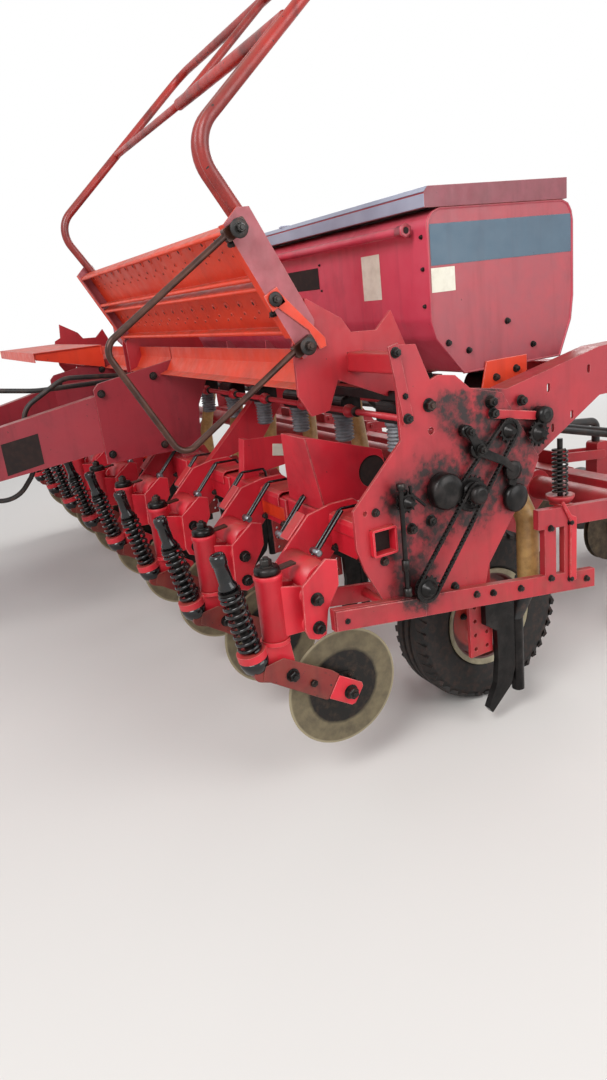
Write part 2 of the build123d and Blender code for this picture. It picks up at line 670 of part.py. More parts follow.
with BuildPart() as shank_brackets:
    with Locations(*all_rows):
        add(shank_bracket_unit.part)
save(shank_brackets, "shank_brackets")

# Furrow shanks: leg bolted beside the bracket, pointed foot, drop tube behind
DROP_TUBE_OD = 52
BOOT_FOOT = 451
boot_x = SHANK_PLATE / 2 + 14
with BuildPart() as shank_unit:
    with BuildSketch(side(SHANK_PLATE / 2)):
        Polygon((500, 620), (640, 620), (650, 560), (650, 240), (628, 160), (520, 62), (500, 90),
                (548, 190), (560, 300), (556, 430), (500, 470), align=None)
    extrude(amount=28)
    with BuildSketch(Plane.XY.offset(120)):
        with Locations((boot_x, 650 + DROP_TUBE_OD / 2)):
            Circle(DROP_TUBE_OD / 2)
            Circle(DROP_TUBE_OD / 2 - 5, mode=Mode.SUBTRACT)
    extrude(amount=BOOT_FOOT - 120)
with BuildPart() as furrow_shanks:
    with Locations(*all_rows):
        add(shank_unit.part)
save(furrow_shanks, "furrow_shanks")

# Feed tubes from the metering units down to the shanks, and the rubber boots under them
TUBE_OD = 90
TUBE_AT = (765, 600)
tube_top = METER_FOOT
with BuildPart() as feed_tubes:
    for x, start_x in zip(row_x, meter_x):
        tube([(start_x, METER_Y, tube_top), (start_x, METER_Y, tube_top - 120), (x, TUBE_AT[0], 850),
              (x, TUBE_AT[0], TUBE_AT[1])], 60, TUBE_OD / 2)
save(feed_tubes, "feed_tubes")

with BuildPart() as boot_unit:
    with BuildSketch(Plane.XY.offset(TUBE_AT[1])):
        with Locations((0, TUBE_AT[0])):
            Circle(TUBE_OD / 2 + 10)
    with BuildSketch(Plane.XY.offset(BOOT_FOOT)):
        with Locations((boot_x, 650 + DROP_TUBE_OD / 2)):
            Circle(DROP_TUBE_OD / 2 - 1)
    loft()
with BuildPart() as tube_boots:
    with Locations(*all_rows):
        add(boot_unit.part)
save(tube_boots, "tube_boots")

# Seeding units: parallel links behind the rear toolbar
link_front = REAR_BAR[0] + BAR_SIZE / 2 + 48
link_rear = link_front + LINK_LENGTH
LINK_DROP = 32
LINK_Z = (872, 732)
LINK_X = 50
LINK_THICK = 12
with BuildPart() as link_unit:
    with BuildSketch(Plane.XZ.offset(-REAR_BAR[0] - BAR_SIZE / 2)):
        with Locations((0, REAR_BAR[1])):
            Rectangle(150, 230)
    extrude(amount=-12)
    for ear_x in (-LINK_X - 0.3 - LINK_THICK, LINK_X + 0.3):
        with BuildSketch(side(ear_x)):
            for link_z in LINK_Z:
                with Locations(((link_front + REAR_BAR[0] + BAR_SIZE / 2) / 2, link_z)):
                    Rectangle(link_front - REAR_BAR[0] - BAR_SIZE / 2, 44)
                with Locations((link_front, link_z)):
                    Circle(22)
        extrude(amount=LINK_THICK)
    for link_z in LINK_Z:
        with BuildSketch(side(-LINK_X - 30)):
            with Locations((link_front, link_z)):
                Circle(11)
        extrude(amount=2 * LINK_X + 60)
        for link_x in (-LINK_X, LINK_X - LINK_THICK):
            with BuildSketch(side(link_x)):
                bar((link_front, link_z), 24, (link_rear, link_z - LINK_DROP), 24)
            extrude(amount=LINK_THICK)
        with BuildSketch(side(-LINK_X)):
            with Locations((link_rear, link_z - LINK_DROP)):
                Circle(11)
        extrude(amount=2 * LINK_X)
with BuildPart() as row_links:
    with Locations(*all_rows):
        add(link_unit.part)
save(row_links, "row_links")

# Seeding unit frames: head between the links, blade shank, arms to the press wheel
FRAME_HALF = LINK_X - LINK_THICK - FIT_GAP
SHANK_HALF = 11
PRESS_PIVOT = (1990, 660)
PRESS_ARM_X = PRESS_WIDTH / 2 + 7
PRESS_ELBOW = (2230, 575)
with BuildPart() as frame_unit:
    with BuildSketch(side(-FRAME_HALF)) as frame_head:
        Polygon((link_rear - 30, 905), (link_rear + 40, 905), (2050, 700), (2050, 612), (1900, 612),
                (link_rear - 30, 650), align=None)
        fillet(frame_head.vertices(), radius=18)
        for link_z in LINK_Z:
            with Locations((link_rear, link_z - LINK_DROP)):
                Circle(11 + FIT_GAP, mode=Mode.SUBTRACT)
    extrude(amount=2 * FRAME_HALF)
    with BuildSketch(side(-SHANK_HALF)):
        Polygon((1880, 640), (2030, 640), (2000, 440), (1990, 370), (1930, 370), (1905, 440), align=None)
    extrude(amount=2 * SHANK_HALF)
    with BuildSketch(side(-SHANK_HALF - 30)):
        with Locations(OPENER_HUB):
            Circle(14)
    extrude(amount=2 * SHANK_HALF + 60)
    for arm_x in (PRESS_ARM_X, -PRESS_ARM_X - 10):
        with BuildSketch(side(arm_x)):
            bar(PRESS_PIVOT, 34, PRESS_ELBOW, 28)
            bar(PRESS_ELBOW, 28, PRESS_HUB, 26)
        extrude(amount=10)
    with BuildSketch(side(-PRESS_ARM_X - 16)):
        with Locations(PRESS_PIVOT):
            Circle(17)
    extrude(amount=2 * PRESS_ARM_X + 32)
    with BuildSketch(side(-PRESS_ARM_X - 16)):
        with Locations(PRESS_HUB):
            Circle(PRESS_AXLE / 2)
    extrude(amount=2 * PRESS_ARM_X + 32)
with BuildPart() as row_frames:
    with Locations(*all_rows):
        add(frame_unit.part)
save(row_frames, "row_frames")

# Opener discs: a pair a row, toed in towards the front
OPENER_TOE = 4
OPENER_X = 26
with BuildPart() as opener_unit:
    for sign in (1, -1):
        toe = radians(OPENER_TOE) * sign
        disc_plane = Plane(origin=(sign * OPENER_X, OPENER_HUB[0], OPENER_HUB[1]), x_dir=(0, 0, 1),
                           z_dir=(cos(toe), -sin(toe), 0))
        with BuildSketch(disc_plane.offset(-2)):
            Circle(OPENER_RADIUS)
        extrude(amount=4)
        with BuildSketch(disc_plane.offset(2 if sign > 0 else -2)):
            Circle(48)
        extrude(amount=sign * 14)
        with BuildSketch(side(sign * (OPENER_X - 12))):
            with Locations(OPENER_HUB):
                Circle(14 + FIT_GAP)
        extrude(amount=sign * 60, mode=Mode.SUBTRACT)
with BuildPart() as opener_discs:
    with Locations(*all_rows):
        add(opener_unit.part)
save(opener_discs, "opener_discs")

# Press wheels: one wide wheel a row, grooved tread on a dished centre
press_half = PRESS_WIDTH / 2
press_profile = [
    (PRESS_AXLE / 2 + FIT_GAP, -press_half + 2), (34, -press_half + 2), (38, -12), (140, -12),
    (146, -press_half + 6), (160, -press_half), (186, -press_half), (PRESS_RADIUS, -press_half + 16),
    (PRESS_RADIUS - 4, -10), (PRESS_RADIUS - 4, 10), (PRESS_RADIUS, press_half - 16),
    (186, press_half), (160, press_half), (146, press_half - 6), (140, 12), (38, 12),
    (34, press_half - 2), (PRESS_AXLE / 2 + FIT_GAP, press_half - 2),
]
for number, x in enumerate(row_x, start=1):
    press_plane = Plane(origin=(x, PRESS_HUB[0], PRESS_HUB[1]), x_dir=(0, 0, 1), z_dir=(0, 1, 0))
    with BuildPart() as press_wheel:
        with BuildSketch(press_plane):
            Polygon(*press_profile, align=None)
        revolve(axis=Axis(press_plane.origin, (1, 0, 0)))
    save(press_wheel, f"press_wheel_{number}")

# Seed tubes from the metering units over the rear toolbar to the seeding units
SEED_TUBE_OD = 42
with BuildPart() as seed_tubes:
    for x, start_x in zip(row_x, meter_x):
        tube([(start_x, OUTLET_Y[1] - 25, OUTLET_FOOT), (start_x, OUTLET_Y[1] - 25, 1195), (x, 1560, 1040),
              (x, link_rear, 1010), (x, link_rear, 905)], (90, 110, 40), SEED_TUBE_OD / 2)
save(seed_tubes, "seed_tubes")

# Folding platform: drawn along its own slope, from the pivot outwards and upwards
fold = radians(FOLD_ANGLE)
DECK_THICK = 4
DECK_UP = 36


def platform_plane(x):
    """Plane at x whose sketch runs outward along the folded deck, then up from it."""
    return Plane(origin=(x, PIVOT[0], PIVOT[1]), x_dir=(0, -cos(fold), sin(fold)), z_dir=(-1, 0, 0))


def on_platform(x, out, up):
    """Place on the folded platform, in the machine's own frame."""
    return (x, PIVOT[0] - out * cos(fold) + up * sin(fold), PIVOT[1] + out * sin(fold) + up * cos(fold))


PIVOT_PIN = 20
CHANNEL_UP = (-20, 90)
CHANNEL_FROM = -40
FLANGE_FROM = 45
FLANGE_WIDTH = 46
near_web = PLATFORM_X[1]
far_web = PLATFORM_X[0] + CHANNEL_THICK
with BuildPart() as platform_sides:
    for web_x, turn in ((near_web, 1), (far_web, -1)):
        with BuildSketch(platform_plane(web_x)) as channel_web:
            Polygon((CHANNEL_FROM, CHANNEL_UP[0]), (PLATFORM_LENGTH, CHANNEL_UP[0]),
                    (PLATFORM_LENGTH + 20, CHANNEL_UP[1] - 40), (PLATFORM_LENGTH, CHANNEL_UP[1]),
                    (FLANGE_FROM, CHANNEL_UP[1]), (CHANNEL_FROM, 24), align=None)
            Circle(PIVOT_PIN / 2 + FIT_GAP, mode=Mode.SUBTRACT)
        extrude(amount=CHANNEL_THICK)
        flange_x = web_x if turn > 0 else web_x - CHANNEL_THICK + FLANGE_WIDTH
        with BuildSketch(platform_plane(flange_x)):
            Polygon((FLANGE_FROM, CHANNEL_UP[0]), (PLATFORM_LENGTH, CHANNEL_UP[0]),
                    (PLATFORM_LENGTH, CHANNEL_UP[0] + CHANNEL_THICK),
                    (FLANGE_FROM, CHANNEL_UP[0] + CHANNEL_THICK), align=None)
        extrude(amount=FLANGE_WIDTH)
save(platform_sides, "platform_sides")

# Two planks of folded sheet between the channels
plank_from = (52, 262)
PLANK_FLANGE = 46
plank_length = near_web - CHANNEL_THICK - far_web
with BuildPart() as platform_planks:
    for start in plank_from:
        with BuildSketch(platform_plane(near_web - CHANNEL_THICK)):
            Polygon((start, DECK_UP + DECK_THICK - PLANK_FLANGE), (start + DECK_THICK, DECK_UP + DECK_THICK - PLANK_FLANGE),
                    (start + DECK_THICK, DECK_UP), (start + PLANK_WIDTH - DECK_THICK, DECK_UP),
                    (start + PLANK_WIDTH - DECK_THICK, DECK_UP + DECK_THICK - PLANK_FLANGE),
                    (start + PLANK_WIDTH, DECK_UP + DECK_THICK - PLANK_FLANGE),
                    (start + PLANK_WIDTH, DECK_UP + DECK_THICK), (start, DECK_UP + DECK_THICK), align=None)
        extrude(amount=plank_length)
save(platform_planks, "platform_planks")

# Guard rail: bent posts and top rail in one tube, two mid rails and an inner post
POST_FOOT = (400, 66)
POST_KNEE = (720, 42)
POST_HEAD = (1000, RAIL_HEIGHT_UP)
near_post = near_web - CHANNEL_THICK - POST_OD / 2
far_post = far_web + POST_OD / 2
MID_UP = 560
MID_OD = 48
INNER_X = 1150
mid_share = (MID_UP - POST_KNEE[1]) / (POST_HEAD[1] - POST_KNEE[1])
inner_near = near_post - POST_OD - FIT_GAP
MID_AT = (POST_KNEE[0] + mid_share * (POST_HEAD[0] - POST_KNEE[0]), MID_UP)
with BuildPart() as platform_rail:
    tube([on_platform(near_post, *POST_FOOT), on_platform(near_post, *POST_KNEE),
          on_platform(near_post, *POST_HEAD), on_platform(far_post, *POST_HEAD),
          on_platform(far_post, *POST_KNEE), on_platform(far_post, *POST_FOOT)],
         (130, 110, 110, 130), POST_OD / 2)
    tube([on_platform(inner_near, *POST_FOOT), on_platform(inner_near, *POST_KNEE),
          on_platform(inner_near, *MID_AT)], 130, POST_OD / 2)
    tube([on_platform(far_post, *MID_AT), on_platform(INNER_X, *MID_AT),
          on_platform(INNER_X, *POST_HEAD)], 110, 17)
    with BuildSketch(Plane(origin=on_platform(INNER_X - 40, *MID_AT), z_dir=(1, 0, 0))):
        Circle(MID_OD / 2)
    extrude(amount=inner_near - INNER_X + 40)
save(platform_rail, "platform_rail")

# Step: bent round bar outside the near channel, with its two end blocks
STEP_OD = 22
step_x = near_web + STEP_OD / 2
with BuildPart() as platform_step:
    tube([on_platform(step_x, 6, -30), on_platform(step_x, -36, -575), on_platform(step_x, 392, -575),
          on_platform(step_x, 442, -30)], 50, STEP_OD / 2)
    for out in (0, 440):
        with BuildSketch(platform_plane(near_web + STEP_OD)):
            with Locations((out, 0)):
                RectangleRounded(44, 88, 8)
            Circle(PIVOT_PIN / 2 + FIT_GAP, mode=Mode.SUBTRACT)
        extrude(amount=STEP_OD)
save(platform_step, "platform_step")

# Fixed brackets that carry the platforms, pierced by the platform bar
BRACKET_THICK = 12
bracket_outline = [
    (-101, 1650), (-96, 1668), (-48, 1690), (-36, 1800), (105, 1716), (140, 1665), (250, 1660),
    (318, 1722), (440, 1440), (300, 1402), (67, 1504), (20, 1400), (-54, 1390), (-101, 1470),
]
near_bracket = near_web - CHANNEL_THICK - RUN_GAP - BRACKET_THICK
far_bracket = far_web + RUN_GAP
with BuildPart() as platform_brackets:
    for plate_x in (near_bracket, far_bracket, -far_bracket - BRACKET_THICK, -near_bracket - BRACKET_THICK):
        with BuildSketch(side(plate_x)):
            Polygon(*bracket_outline, align=None)
            with Locations(PLATFORM_BAR):
                Rectangle(PLATFORM_BAR_SIZE, PLATFORM_BAR_SIZE, mode=Mode.SUBTRACT)
        extrude(amount=BRACKET_THICK)
    for plate_x, pin_end in ((near_bracket, near_web + STEP_OD + 14), (far_bracket + BRACKET_THICK, far_web - 22)):
        with BuildSketch(side(plate_x)):
            with Locations(PIVOT):
                Circle(PIVOT_PIN / 2)
        extrude(amount=pin_end - plate_x)
save(platform_brackets, "platform_brackets")

# Deck sheets: aprons below both decks, clear of the junction plates, and the fixed far deck
apron = [(-24, 1625), (-22, 1570), (-60, 1510), (-100, 1496)]
FAR_DECK_END = -560
plate_in = DRAWBAR_X - PLATE_THICK / 2
apron_ends = [
    (far_bracket + BRACKET_THICK, plate_in - 2), (plate_in + PLATE_THICK + 2, near_bracket),
    (-plate_in + 2, -far_bracket - BRACKET_THICK), (-near_bracket, -plate_in - PLATE_THICK - 2),
]
deck_front = PIVOT[0] - PLATFORM_LENGTH
with BuildPart() as deck_sheets:
    for start_x, end_x in apron_ends:
        with BuildSketch(side(start_x)):
            with BuildLine():
                Polyline(*apron)
                offset(amount=4, side=Side.LEFT, closed=True)
            make_face()
        extrude(amount=end_x - start_x)
    with BuildSketch(side(-PLATFORM_X[1])):
        Polygon((deck_front, 1586), (deck_front + 5, 1586), (deck_front + 5, 1641), (-110, 1641), (-110, 1586),
                (-105, 1586), (-105, 1646), (deck_front, 1646), align=None)
    extrude(amount=PLATFORM_X[1] + FAR_DECK_END)
    for plate_x in (20 - PLATFORM_X[1], -1400, FAR_DECK_END - 20):
        with BuildSketch(side(plate_x)):
            Polygon((-101, 1640), (-101, 1500), (deck_front + 10, 1600), (deck_front + 10, 1640), align=None)
        extrude(amount=10)
save(deck_sheets, "deck_sheets")

# Drawbar junction plates: stand on the toolbar and reach up to the platform bar
bar_top = BAR_Z + BAR_SIZE / 2
junction_outline = [
    (BEAM_ROOT[0], 1075), (BEAM_ROOT[0], 1465), (BEAM_ROOT[0] + 27, 1492), (-30, 1560), (112, 1600),
    (190, 1600), (190, 1500), (90, 1300), (66, 1075), (48, 1064), (48, bar_top), (-48, bar_top), (-48, 1064),
    (-66, 1075),
]
with BuildPart() as drawbar_plates:
    for plate_x in (plate_in, -plate_in - PLATE_THICK):
        with BuildSketch(side(plate_x)):
            Polygon(*junction_outline, align=None)
            with Locations(PLATFORM_BAR):
                Rectangle(PLATFORM_BAR_SIZE, PLATFORM_BAR_SIZE, mode=Mode.SUBTRACT)
        extrude(amount=PLATE_THICK)
        with BuildSketch(Plane.XY.offset(bar_top)):
            with Locations((plate_x + PLATE_THICK / 2, 0)):
                Rectangle(84, BAR_SIZE - 10)
        extrude(amount=14)
save(drawbar_plates, "drawbar_plates")

# Drawbar beams: straight roots inside the plates, then tapering arms that converge
root_x = plate_in - BEAM_WIDTH / 2
CROSS_Y = -1250
STAND_TOP = 1530
with BuildPart() as drawbar_beams:
    for sign in (1, -1):
        with BuildSketch(Plane.XZ.offset(110)):
            with Locations((sign * root_x, BEAM_ROOT[1])):
                Rectangle(BEAM_WIDTH, BEAM_ROOT_HEIGHT)
        extrude(amount=-BEAM_ROOT[0] - 110)
        with BuildSketch(Plane.XZ.offset(-BEAM_ROOT[0])):
            with Locations((sign * root_x, BEAM_ROOT[1])):
                Rectangle(BEAM_WIDTH, BEAM_ROOT_HEIGHT)
        with BuildSketch(Plane.XZ.offset(-BEAM_TIP[0])):
            with Locations((sign * BEAM_TIP_X, BEAM_TIP[1])):
                Rectangle(BEAM_WIDTH, BEAM_TIP_HEIGHT)
        loft()
    cross_share = (CROSS_Y - BEAM_ROOT[0]) / (BEAM_TIP[0] - BEAM_ROOT[0])
    cross_half = root_x + cross_share * (BEAM_TIP_X - root_x)
    cross_z = BEAM_ROOT[1] + cross_share * (BEAM_TIP[1] - BEAM_ROOT[1])
    with BuildSketch(side(-cross_half)):
        with Locations((CROSS_Y, cross_z)):
            Rectangle(90, 120)
    extrude(amount=2 * cross_half)
    with BuildSketch(side(-12)):
        with Locations((CROSS_Y, (cross_z + STAND_TOP) / 2)):
            Rectangle(40, STAND_TOP - cross_z)
    extrude(amount=24)
    with BuildSketch(side(-190)):
        with Locations((CROSS_Y, STAND_TOP)):
            Circle(15)
    extrude(amount=380)
    with BuildSketch(Plane.XY.offset(1020)):
        with Locations((0, JACK_Y)):
            Rectangle(380, 150)
            Circle(JACK_TUBE_OD / 2 + FIT_GAP, mode=Mode.SUBTRACT)
    extrude(amount=30)
save(drawbar_beams, "drawbar_beams")

# Hitch: crosshead on the beam tips, drop plates and a two-plate clevis
HEAD_DEPTH = 70
head_front = BEAM_TIP[0] - HEAD_DEPTH
DROP_X = 60
DROP_THICK = 16
CLEVIS_THICK = 22
CLEVIS_GAP = 46
with BuildPart() as hitch_tongue:
    with BuildSketch(side(-BEAM_TIP_X - BEAM_WIDTH / 2)):
        with Locations((BEAM_TIP[0] - HEAD_DEPTH / 2, BEAM_TIP[1])):
            Rectangle(HEAD_DEPTH, BEAM_TIP_HEIGHT)
    extrude(amount=2 * BEAM_TIP_X + BEAM_WIDTH)
    for plate_x in (DROP_X, -DROP_X - DROP_THICK):
        with BuildSketch(side(plate_x)):
            Polygon((head_front, 1070), (head_front - 60, 1040), (HITCH_Y + 30, HITCH_Z + 70),
                    (HITCH_Y + 30, HITCH_Z - 60), (HITCH_Y + 150, HITCH_Z - 60), (head_front + 20, 700),
                    (head_front + 60, BEAM_TIP[1] - BEAM_TIP_HEIGHT / 2),
                    (head_front, BEAM_TIP[1] - BEAM_TIP_HEIGHT / 2), align=None)
        extrude(amount=DROP_THICK)
    for plate_z in (HITCH_Z - CLEVIS_GAP / 2 - CLEVIS_THICK, HITCH_Z + CLEVIS_GAP / 2):
        with BuildSketch(Plane.XY.offset(plate_z)):
            with Locations((0, HITCH_Y + 85)):
                Rectangle(2 * DROP_X, 110)
            with Locations((0, HITCH_Y)):
                Circle(DROP_X)
                Rectangle(2 * DROP_X, 70)
                Circle(HITCH_HOLE / 2, mode=Mode.SUBTRACT)
        extrude(amount=CLEVIS_THICK)
    with BuildSketch(Plane.XZ.offset(-HITCH_Y - 140)):
        with Locations((0, HITCH_Z)):
            Rectangle(2 * DROP_X, CLEVIS_GAP + 2 * CLEVIS_THICK)
    extrude(amount=20)
save(hitch_tongue, "hitch_tongue")

# Struts from the toolbar up to the hopper's front bar, with a flange along the front edge
STRUT_X = 900
STRUT_THICK = 12
strut_foot = BAR_SIZE / 2
strut_outline = [
    (-8, bar_top), (354, 1355), (HOPPER_BAR_FRONT[0] - half_bar, 1376), (HOPPER_BAR_FRONT[0] - half_bar, 1326),
    (311, 1092), (strut_foot, bar_top),
]
strut_flange = [(-8, bar_top), (354, 1355), (350, 1366), (-20, bar_top)]

# Sheet boxes on the toolbar: place of the near side, width, side outline and the hole in it
toolbar_boxes = [
    (2190, 190, [(-40, bar_top), (-96, 1318), (-60, 1312), (228, 1217), (262, 1040), (50, 1040), (50, bar_top)],
     (180, 1140, 62)),
    (1400, 60, [(-30, bar_top), (-4, 1208), (20, 1206), (250, 1192), (250, 1060), (50, 1040), (50, bar_top)],
     (190, 1125, 14)),
]
BOX_SHEET = 4
with BuildPart() as toolbar_brackets:
    for sign in (1, -1):
        with BuildSketch(side(sign * STRUT_X)):
            Polygon(*strut_outline, align=None)
        extrude(amount=-sign * STRUT_THICK)
        with BuildSketch(side(sign * STRUT_X)):
            Polygon(*strut_flange, align=None)
        extrude(amount=-sign * 50)
        for box_x, width, outline, (hole_y, hole_z, hole_radius) in toolbar_boxes:
            with BuildSketch(side(sign * box_x)):
                Polygon(*outline, align=None)
                with Locations((hole_y, hole_z)):
                    Circle(hole_radius, mode=Mode.SUBTRACT)
            extrude(amount=-sign * BOX_SHEET)
            with BuildSketch(side(sign * box_x)):
                Polygon(outline[0], outline[1], outline[2], (outline[0][0] + 10, bar_top), align=None)
            extrude(amount=-sign * width)
save(toolbar_brackets, "toolbar_brackets")

# Parking jack: sleeve through the jack plate, inner leg with its foot
leg_room = JACK_LEG_OD / 2 + FIT_GAP
with BuildPart() as jack_sleeve:
    with BuildSketch(Plane.XY.offset(JACK_BOTTOM)):
        with Locations((0, JACK_Y)):
            Circle(JACK_TUBE_OD / 2)
            Circle(leg_room, mode=Mode.SUBTRACT)
    extrude(amount=JACK_TOP - JACK_BOTTOM)
    with BuildSketch(Plane.XY.offset(JACK_TOP)):
        with Locations((0, JACK_Y)):
            Circle(JACK_TUBE_OD / 2 + 6)
    extrude(amount=30)
    with BuildSketch(Plane.XY.offset(1050)):
        with Locations((0, JACK_Y)):
            Circle(JACK_TUBE_OD / 2 + 22)
            Circle(JACK_TUBE_OD / 2 - 2, mode=Mode.SUBTRACT)
    extrude(amount=14)
    with BuildSketch(side(0)):
        with Locations((JACK_Y - 4, JACK_TOP + 15)):
            Circle(10)
    extrude(amount=190)
    with BuildSketch(Plane.XY.offset(JACK_TOP + 15)):
        with Locations((180, JACK_Y - 4)):
            Circle(11)
    extrude(amount=120)
save(jack_sleeve, "jack_sleeve")

with BuildPart() as jack_leg:
    with BuildSketch(Plane.XY.offset(JACK_FOOT_THICK)):
        with Locations((0, JACK_Y)):
            Circle(JACK_LEG_OD / 2)
    extrude(amount=JACK_TOP - JACK_STROKE - 30 - JACK_FOOT_THICK)
    with BuildSketch(Plane.XY):
        with Locations((0, JACK_Y)):
            RectangleRounded(JACK_FOOT, JACK_FOOT, 30)
    extrude(amount=JACK_FOOT_THICK)
save(jack_leg, "jack_leg")

# Ground drive on the near side: place, the face each hub stands on, where its wheel starts, radius, width
rail_face = SIDE_OUT + RAIL_THICK
arm_face = SIDE_OUT - SIDE_THICK
CHAIN_AT = 12
CHAIN_WIDTH = 14
CHAIN_HEIGHT = 12
sprockets = [
    (384, 1066, SIDE_OUT, SIDE_OUT + CHAIN_AT, 62, 24), (568, 1261, SIDE_OUT, SIDE_OUT + CHAIN_AT, 40, 18),
    (716, 1226, arm_face, SIDE_OUT + CHAIN_AT, 46, 18), (145, 768, SIDE_OUT, rail_face + CHAIN_AT, 46, 18),
    (85, 1103, SIDE_OUT, rail_face + CHAIN_AT, 32, 18), (384, 1066, SIDE_OUT, rail_face + CHAIN_AT, 40, 18),
]
chains = [((384, 1066, 62), (568, 1261, 40), SIDE_OUT), ((145, 768, 46), (384, 1066, 40), rail_face)]
DRIVE_HUB = (384, 1066, 34, 78)
with BuildPart() as drive_train:
    for drive_y, drive_z, face_x, wheel_x, radius, width in sprockets:
        with BuildSketch(side(face_x)):
            with Locations((drive_y, drive_z)):
                Circle(radius * 0.45)
        extrude(amount=wheel_x - face_x + width + 10)
        with BuildSketch(side(wheel_x)):
            with Locations((drive_y, drive_z)):
                Circle(radius - 2)
        extrude(amount=width)
    with BuildSketch(side(SIDE_OUT)):
        with Locations(DRIVE_HUB[:2]):
            Circle(DRIVE_HUB[2])
    extrude(amount=DRIVE_HUB[3])
    for (y1, z1, r1), (y2, z2, r2), face_x in chains:
        with BuildSketch(side(face_x + CHAIN_AT)) as chain_loop:
            bar((y1, z1), r1 + CHAIN_HEIGHT, (y2, z2), r2 + CHAIN_HEIGHT)
        with BuildSketch(side(face_x + CHAIN_AT)) as chain_inside:
            bar((y1, z1), r1 - 1.7, (y2, z2), r2 - 1.7)
        extrude(chain_loop.sketch - chain_inside.sketch, amount=CHAIN_WIDTH)
save(drive_train, "drive_train")

# Hydraulic hoses: held under the deck, on the crosshead stand and in the coupler block near the hitch
HOSE_OD = 26
hose_end = (0, -2355, 1120)
hose_routes = [
    ([(300, -140, 1470), (300, -700, 1480), (150, -1250, STAND_TOP + 28), (120, -1700, 1460), (105, -2150, 1260),
      (70, -2355, 1200), (70, -2355, 1100)], (300, 300, 300, 200, 50)),
    ([(360, -140, 1490), (372, -560, 1530), (366, -800, 1400), (350, -810, 1060), (325, -960, 880),
      (230, -1220, 1070), (150, -1700, 1110), (105, -2130, 1150), (20, -2355, 1180), (20, -2355, 1100)],
     (150, 120, 110, 160, 250, 200, 100, 50)),
]
HOSE_CRIMP = 20
HOSE_CRIMP_LONG = 60
with BuildPart() as hydraulic_hoses:
    for route, bends in hose_routes:
        tube(route, bends[:len(route) - 2], HOSE_OD / 2)
        end = route[-1]
        with BuildSketch(Plane.XY.offset(end[2])):
            with Locations(end[:2]):
                RegularPolygon(HOSE_CRIMP, 6)
        extrude(amount=HOSE_CRIMP_LONG)
save(hydraulic_hoses, "hydraulic_hoses")
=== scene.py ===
from math import acos, atan2, cos, hypot, pi, radians, sin

import bmesh
import bpy
from mathutils import Matrix, Vector


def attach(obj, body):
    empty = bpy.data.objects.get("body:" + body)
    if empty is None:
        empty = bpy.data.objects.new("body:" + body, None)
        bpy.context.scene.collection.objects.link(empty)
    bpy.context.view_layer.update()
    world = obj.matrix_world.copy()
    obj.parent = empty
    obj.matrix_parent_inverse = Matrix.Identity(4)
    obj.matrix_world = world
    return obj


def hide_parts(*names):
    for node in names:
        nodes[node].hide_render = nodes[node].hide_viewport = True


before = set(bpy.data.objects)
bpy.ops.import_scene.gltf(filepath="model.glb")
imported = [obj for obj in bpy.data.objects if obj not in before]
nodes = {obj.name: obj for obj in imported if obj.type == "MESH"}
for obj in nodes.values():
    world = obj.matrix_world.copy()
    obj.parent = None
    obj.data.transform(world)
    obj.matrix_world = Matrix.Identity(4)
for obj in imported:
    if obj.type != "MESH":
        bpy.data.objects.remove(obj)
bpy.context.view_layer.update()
scene = bpy.context.scene

# Sizes shared with the solids, in metres
ROW_PITCH = 0.6
ROW_X = [2.4 - ROW_PITCH * row for row in range(9)]
MIRRORED_FROM = -2.3
DRAWBAR_X = 0.6
SIDE_X = 2.5
FOLD = radians(62.4)
PIVOT = (-0.073, 1.642)
CHANNEL_FACE, RAIL_FACE, END_FACE, FRONT_FACE = 2.2002, 2.5284, 2.2662, 0.4398
COULTER_HUB = (-0.153, 0.414)
ARM_PIVOT = (-0.376, 0.561)
RING_AT = (-0.5, 0.668)
ROD_LEAN = radians(10.6)
SWIVEL_Y, SWIVEL_TOP = -0.404, 0.9382
CLAMP_IN, CLAMP_OUT, CLAMP_THICK = 0.162, 0.086, 0.012
WHEEL_AT = (2.15, 0.69, 0.385)
MAIN_WHEEL, UPPER_WHEEL, LOWER_WHEEL = (0.384, 1.066), (0.568, 1.261), (0.145, 0.768)
NEAR, FRONT, UP = (1, 0, 0), (0, -1, 0), (0, 0, 1)


def linear(code):
    """Turns an sRGB hex colour into the linear values a shader takes."""
    parts = [int(code[at:at + 2], 16) / 255 for at in (1, 3, 5)]
    return tuple(v / 12.92 if v <= 0.04045 else ((v + 0.055) / 1.055) ** 2.4 for v in parts) + (1.0,)


def fill(tree, made, inputs):
    """Fills a node's sockets with values or with other sockets."""
    for key, value in inputs.items():
        if isinstance(value, bpy.types.NodeSocket):
            tree.links.new(value, made.inputs[key])
        else:
            made.inputs[key].default_value = value


def node(tree, kind, inputs=None, **settings):
    """Adds a node, sets its properties, then fills its sockets."""
    made = tree.nodes.new(kind)
    for name, value in settings.items():
        setattr(made, name, value)
    fill(tree, made, inputs or {})
    return made


def new_material(name):
    """A material with nothing in it but its surface, and the tree and the surface to build on."""
    material = bpy.data.materials.new(name)
    material.use_nodes = True
    tree = material.node_tree
    tree.nodes.clear()
    surface = node(tree, "ShaderNodeBsdfPrincipled")
    node(tree, "ShaderNodeOutputMaterial", {"Surface": surface.outputs["BSDF"]})
    return material, tree, surface


def object_space(tree):
    return node(tree, "ShaderNodeTexCoord").outputs["Object"]


def axis_part(tree, vector, axis):
    return node(tree, "ShaderNodeSeparateXYZ", {"Vector": vector}).outputs[axis]


def cloud(tree, vector, scale, detail, **more):
    """The outputs of a noise texture."""
    return node(tree, "ShaderNodeTexNoise",
                {"Vector": vector, "Scale": scale, "Detail": detail, **more}).outputs


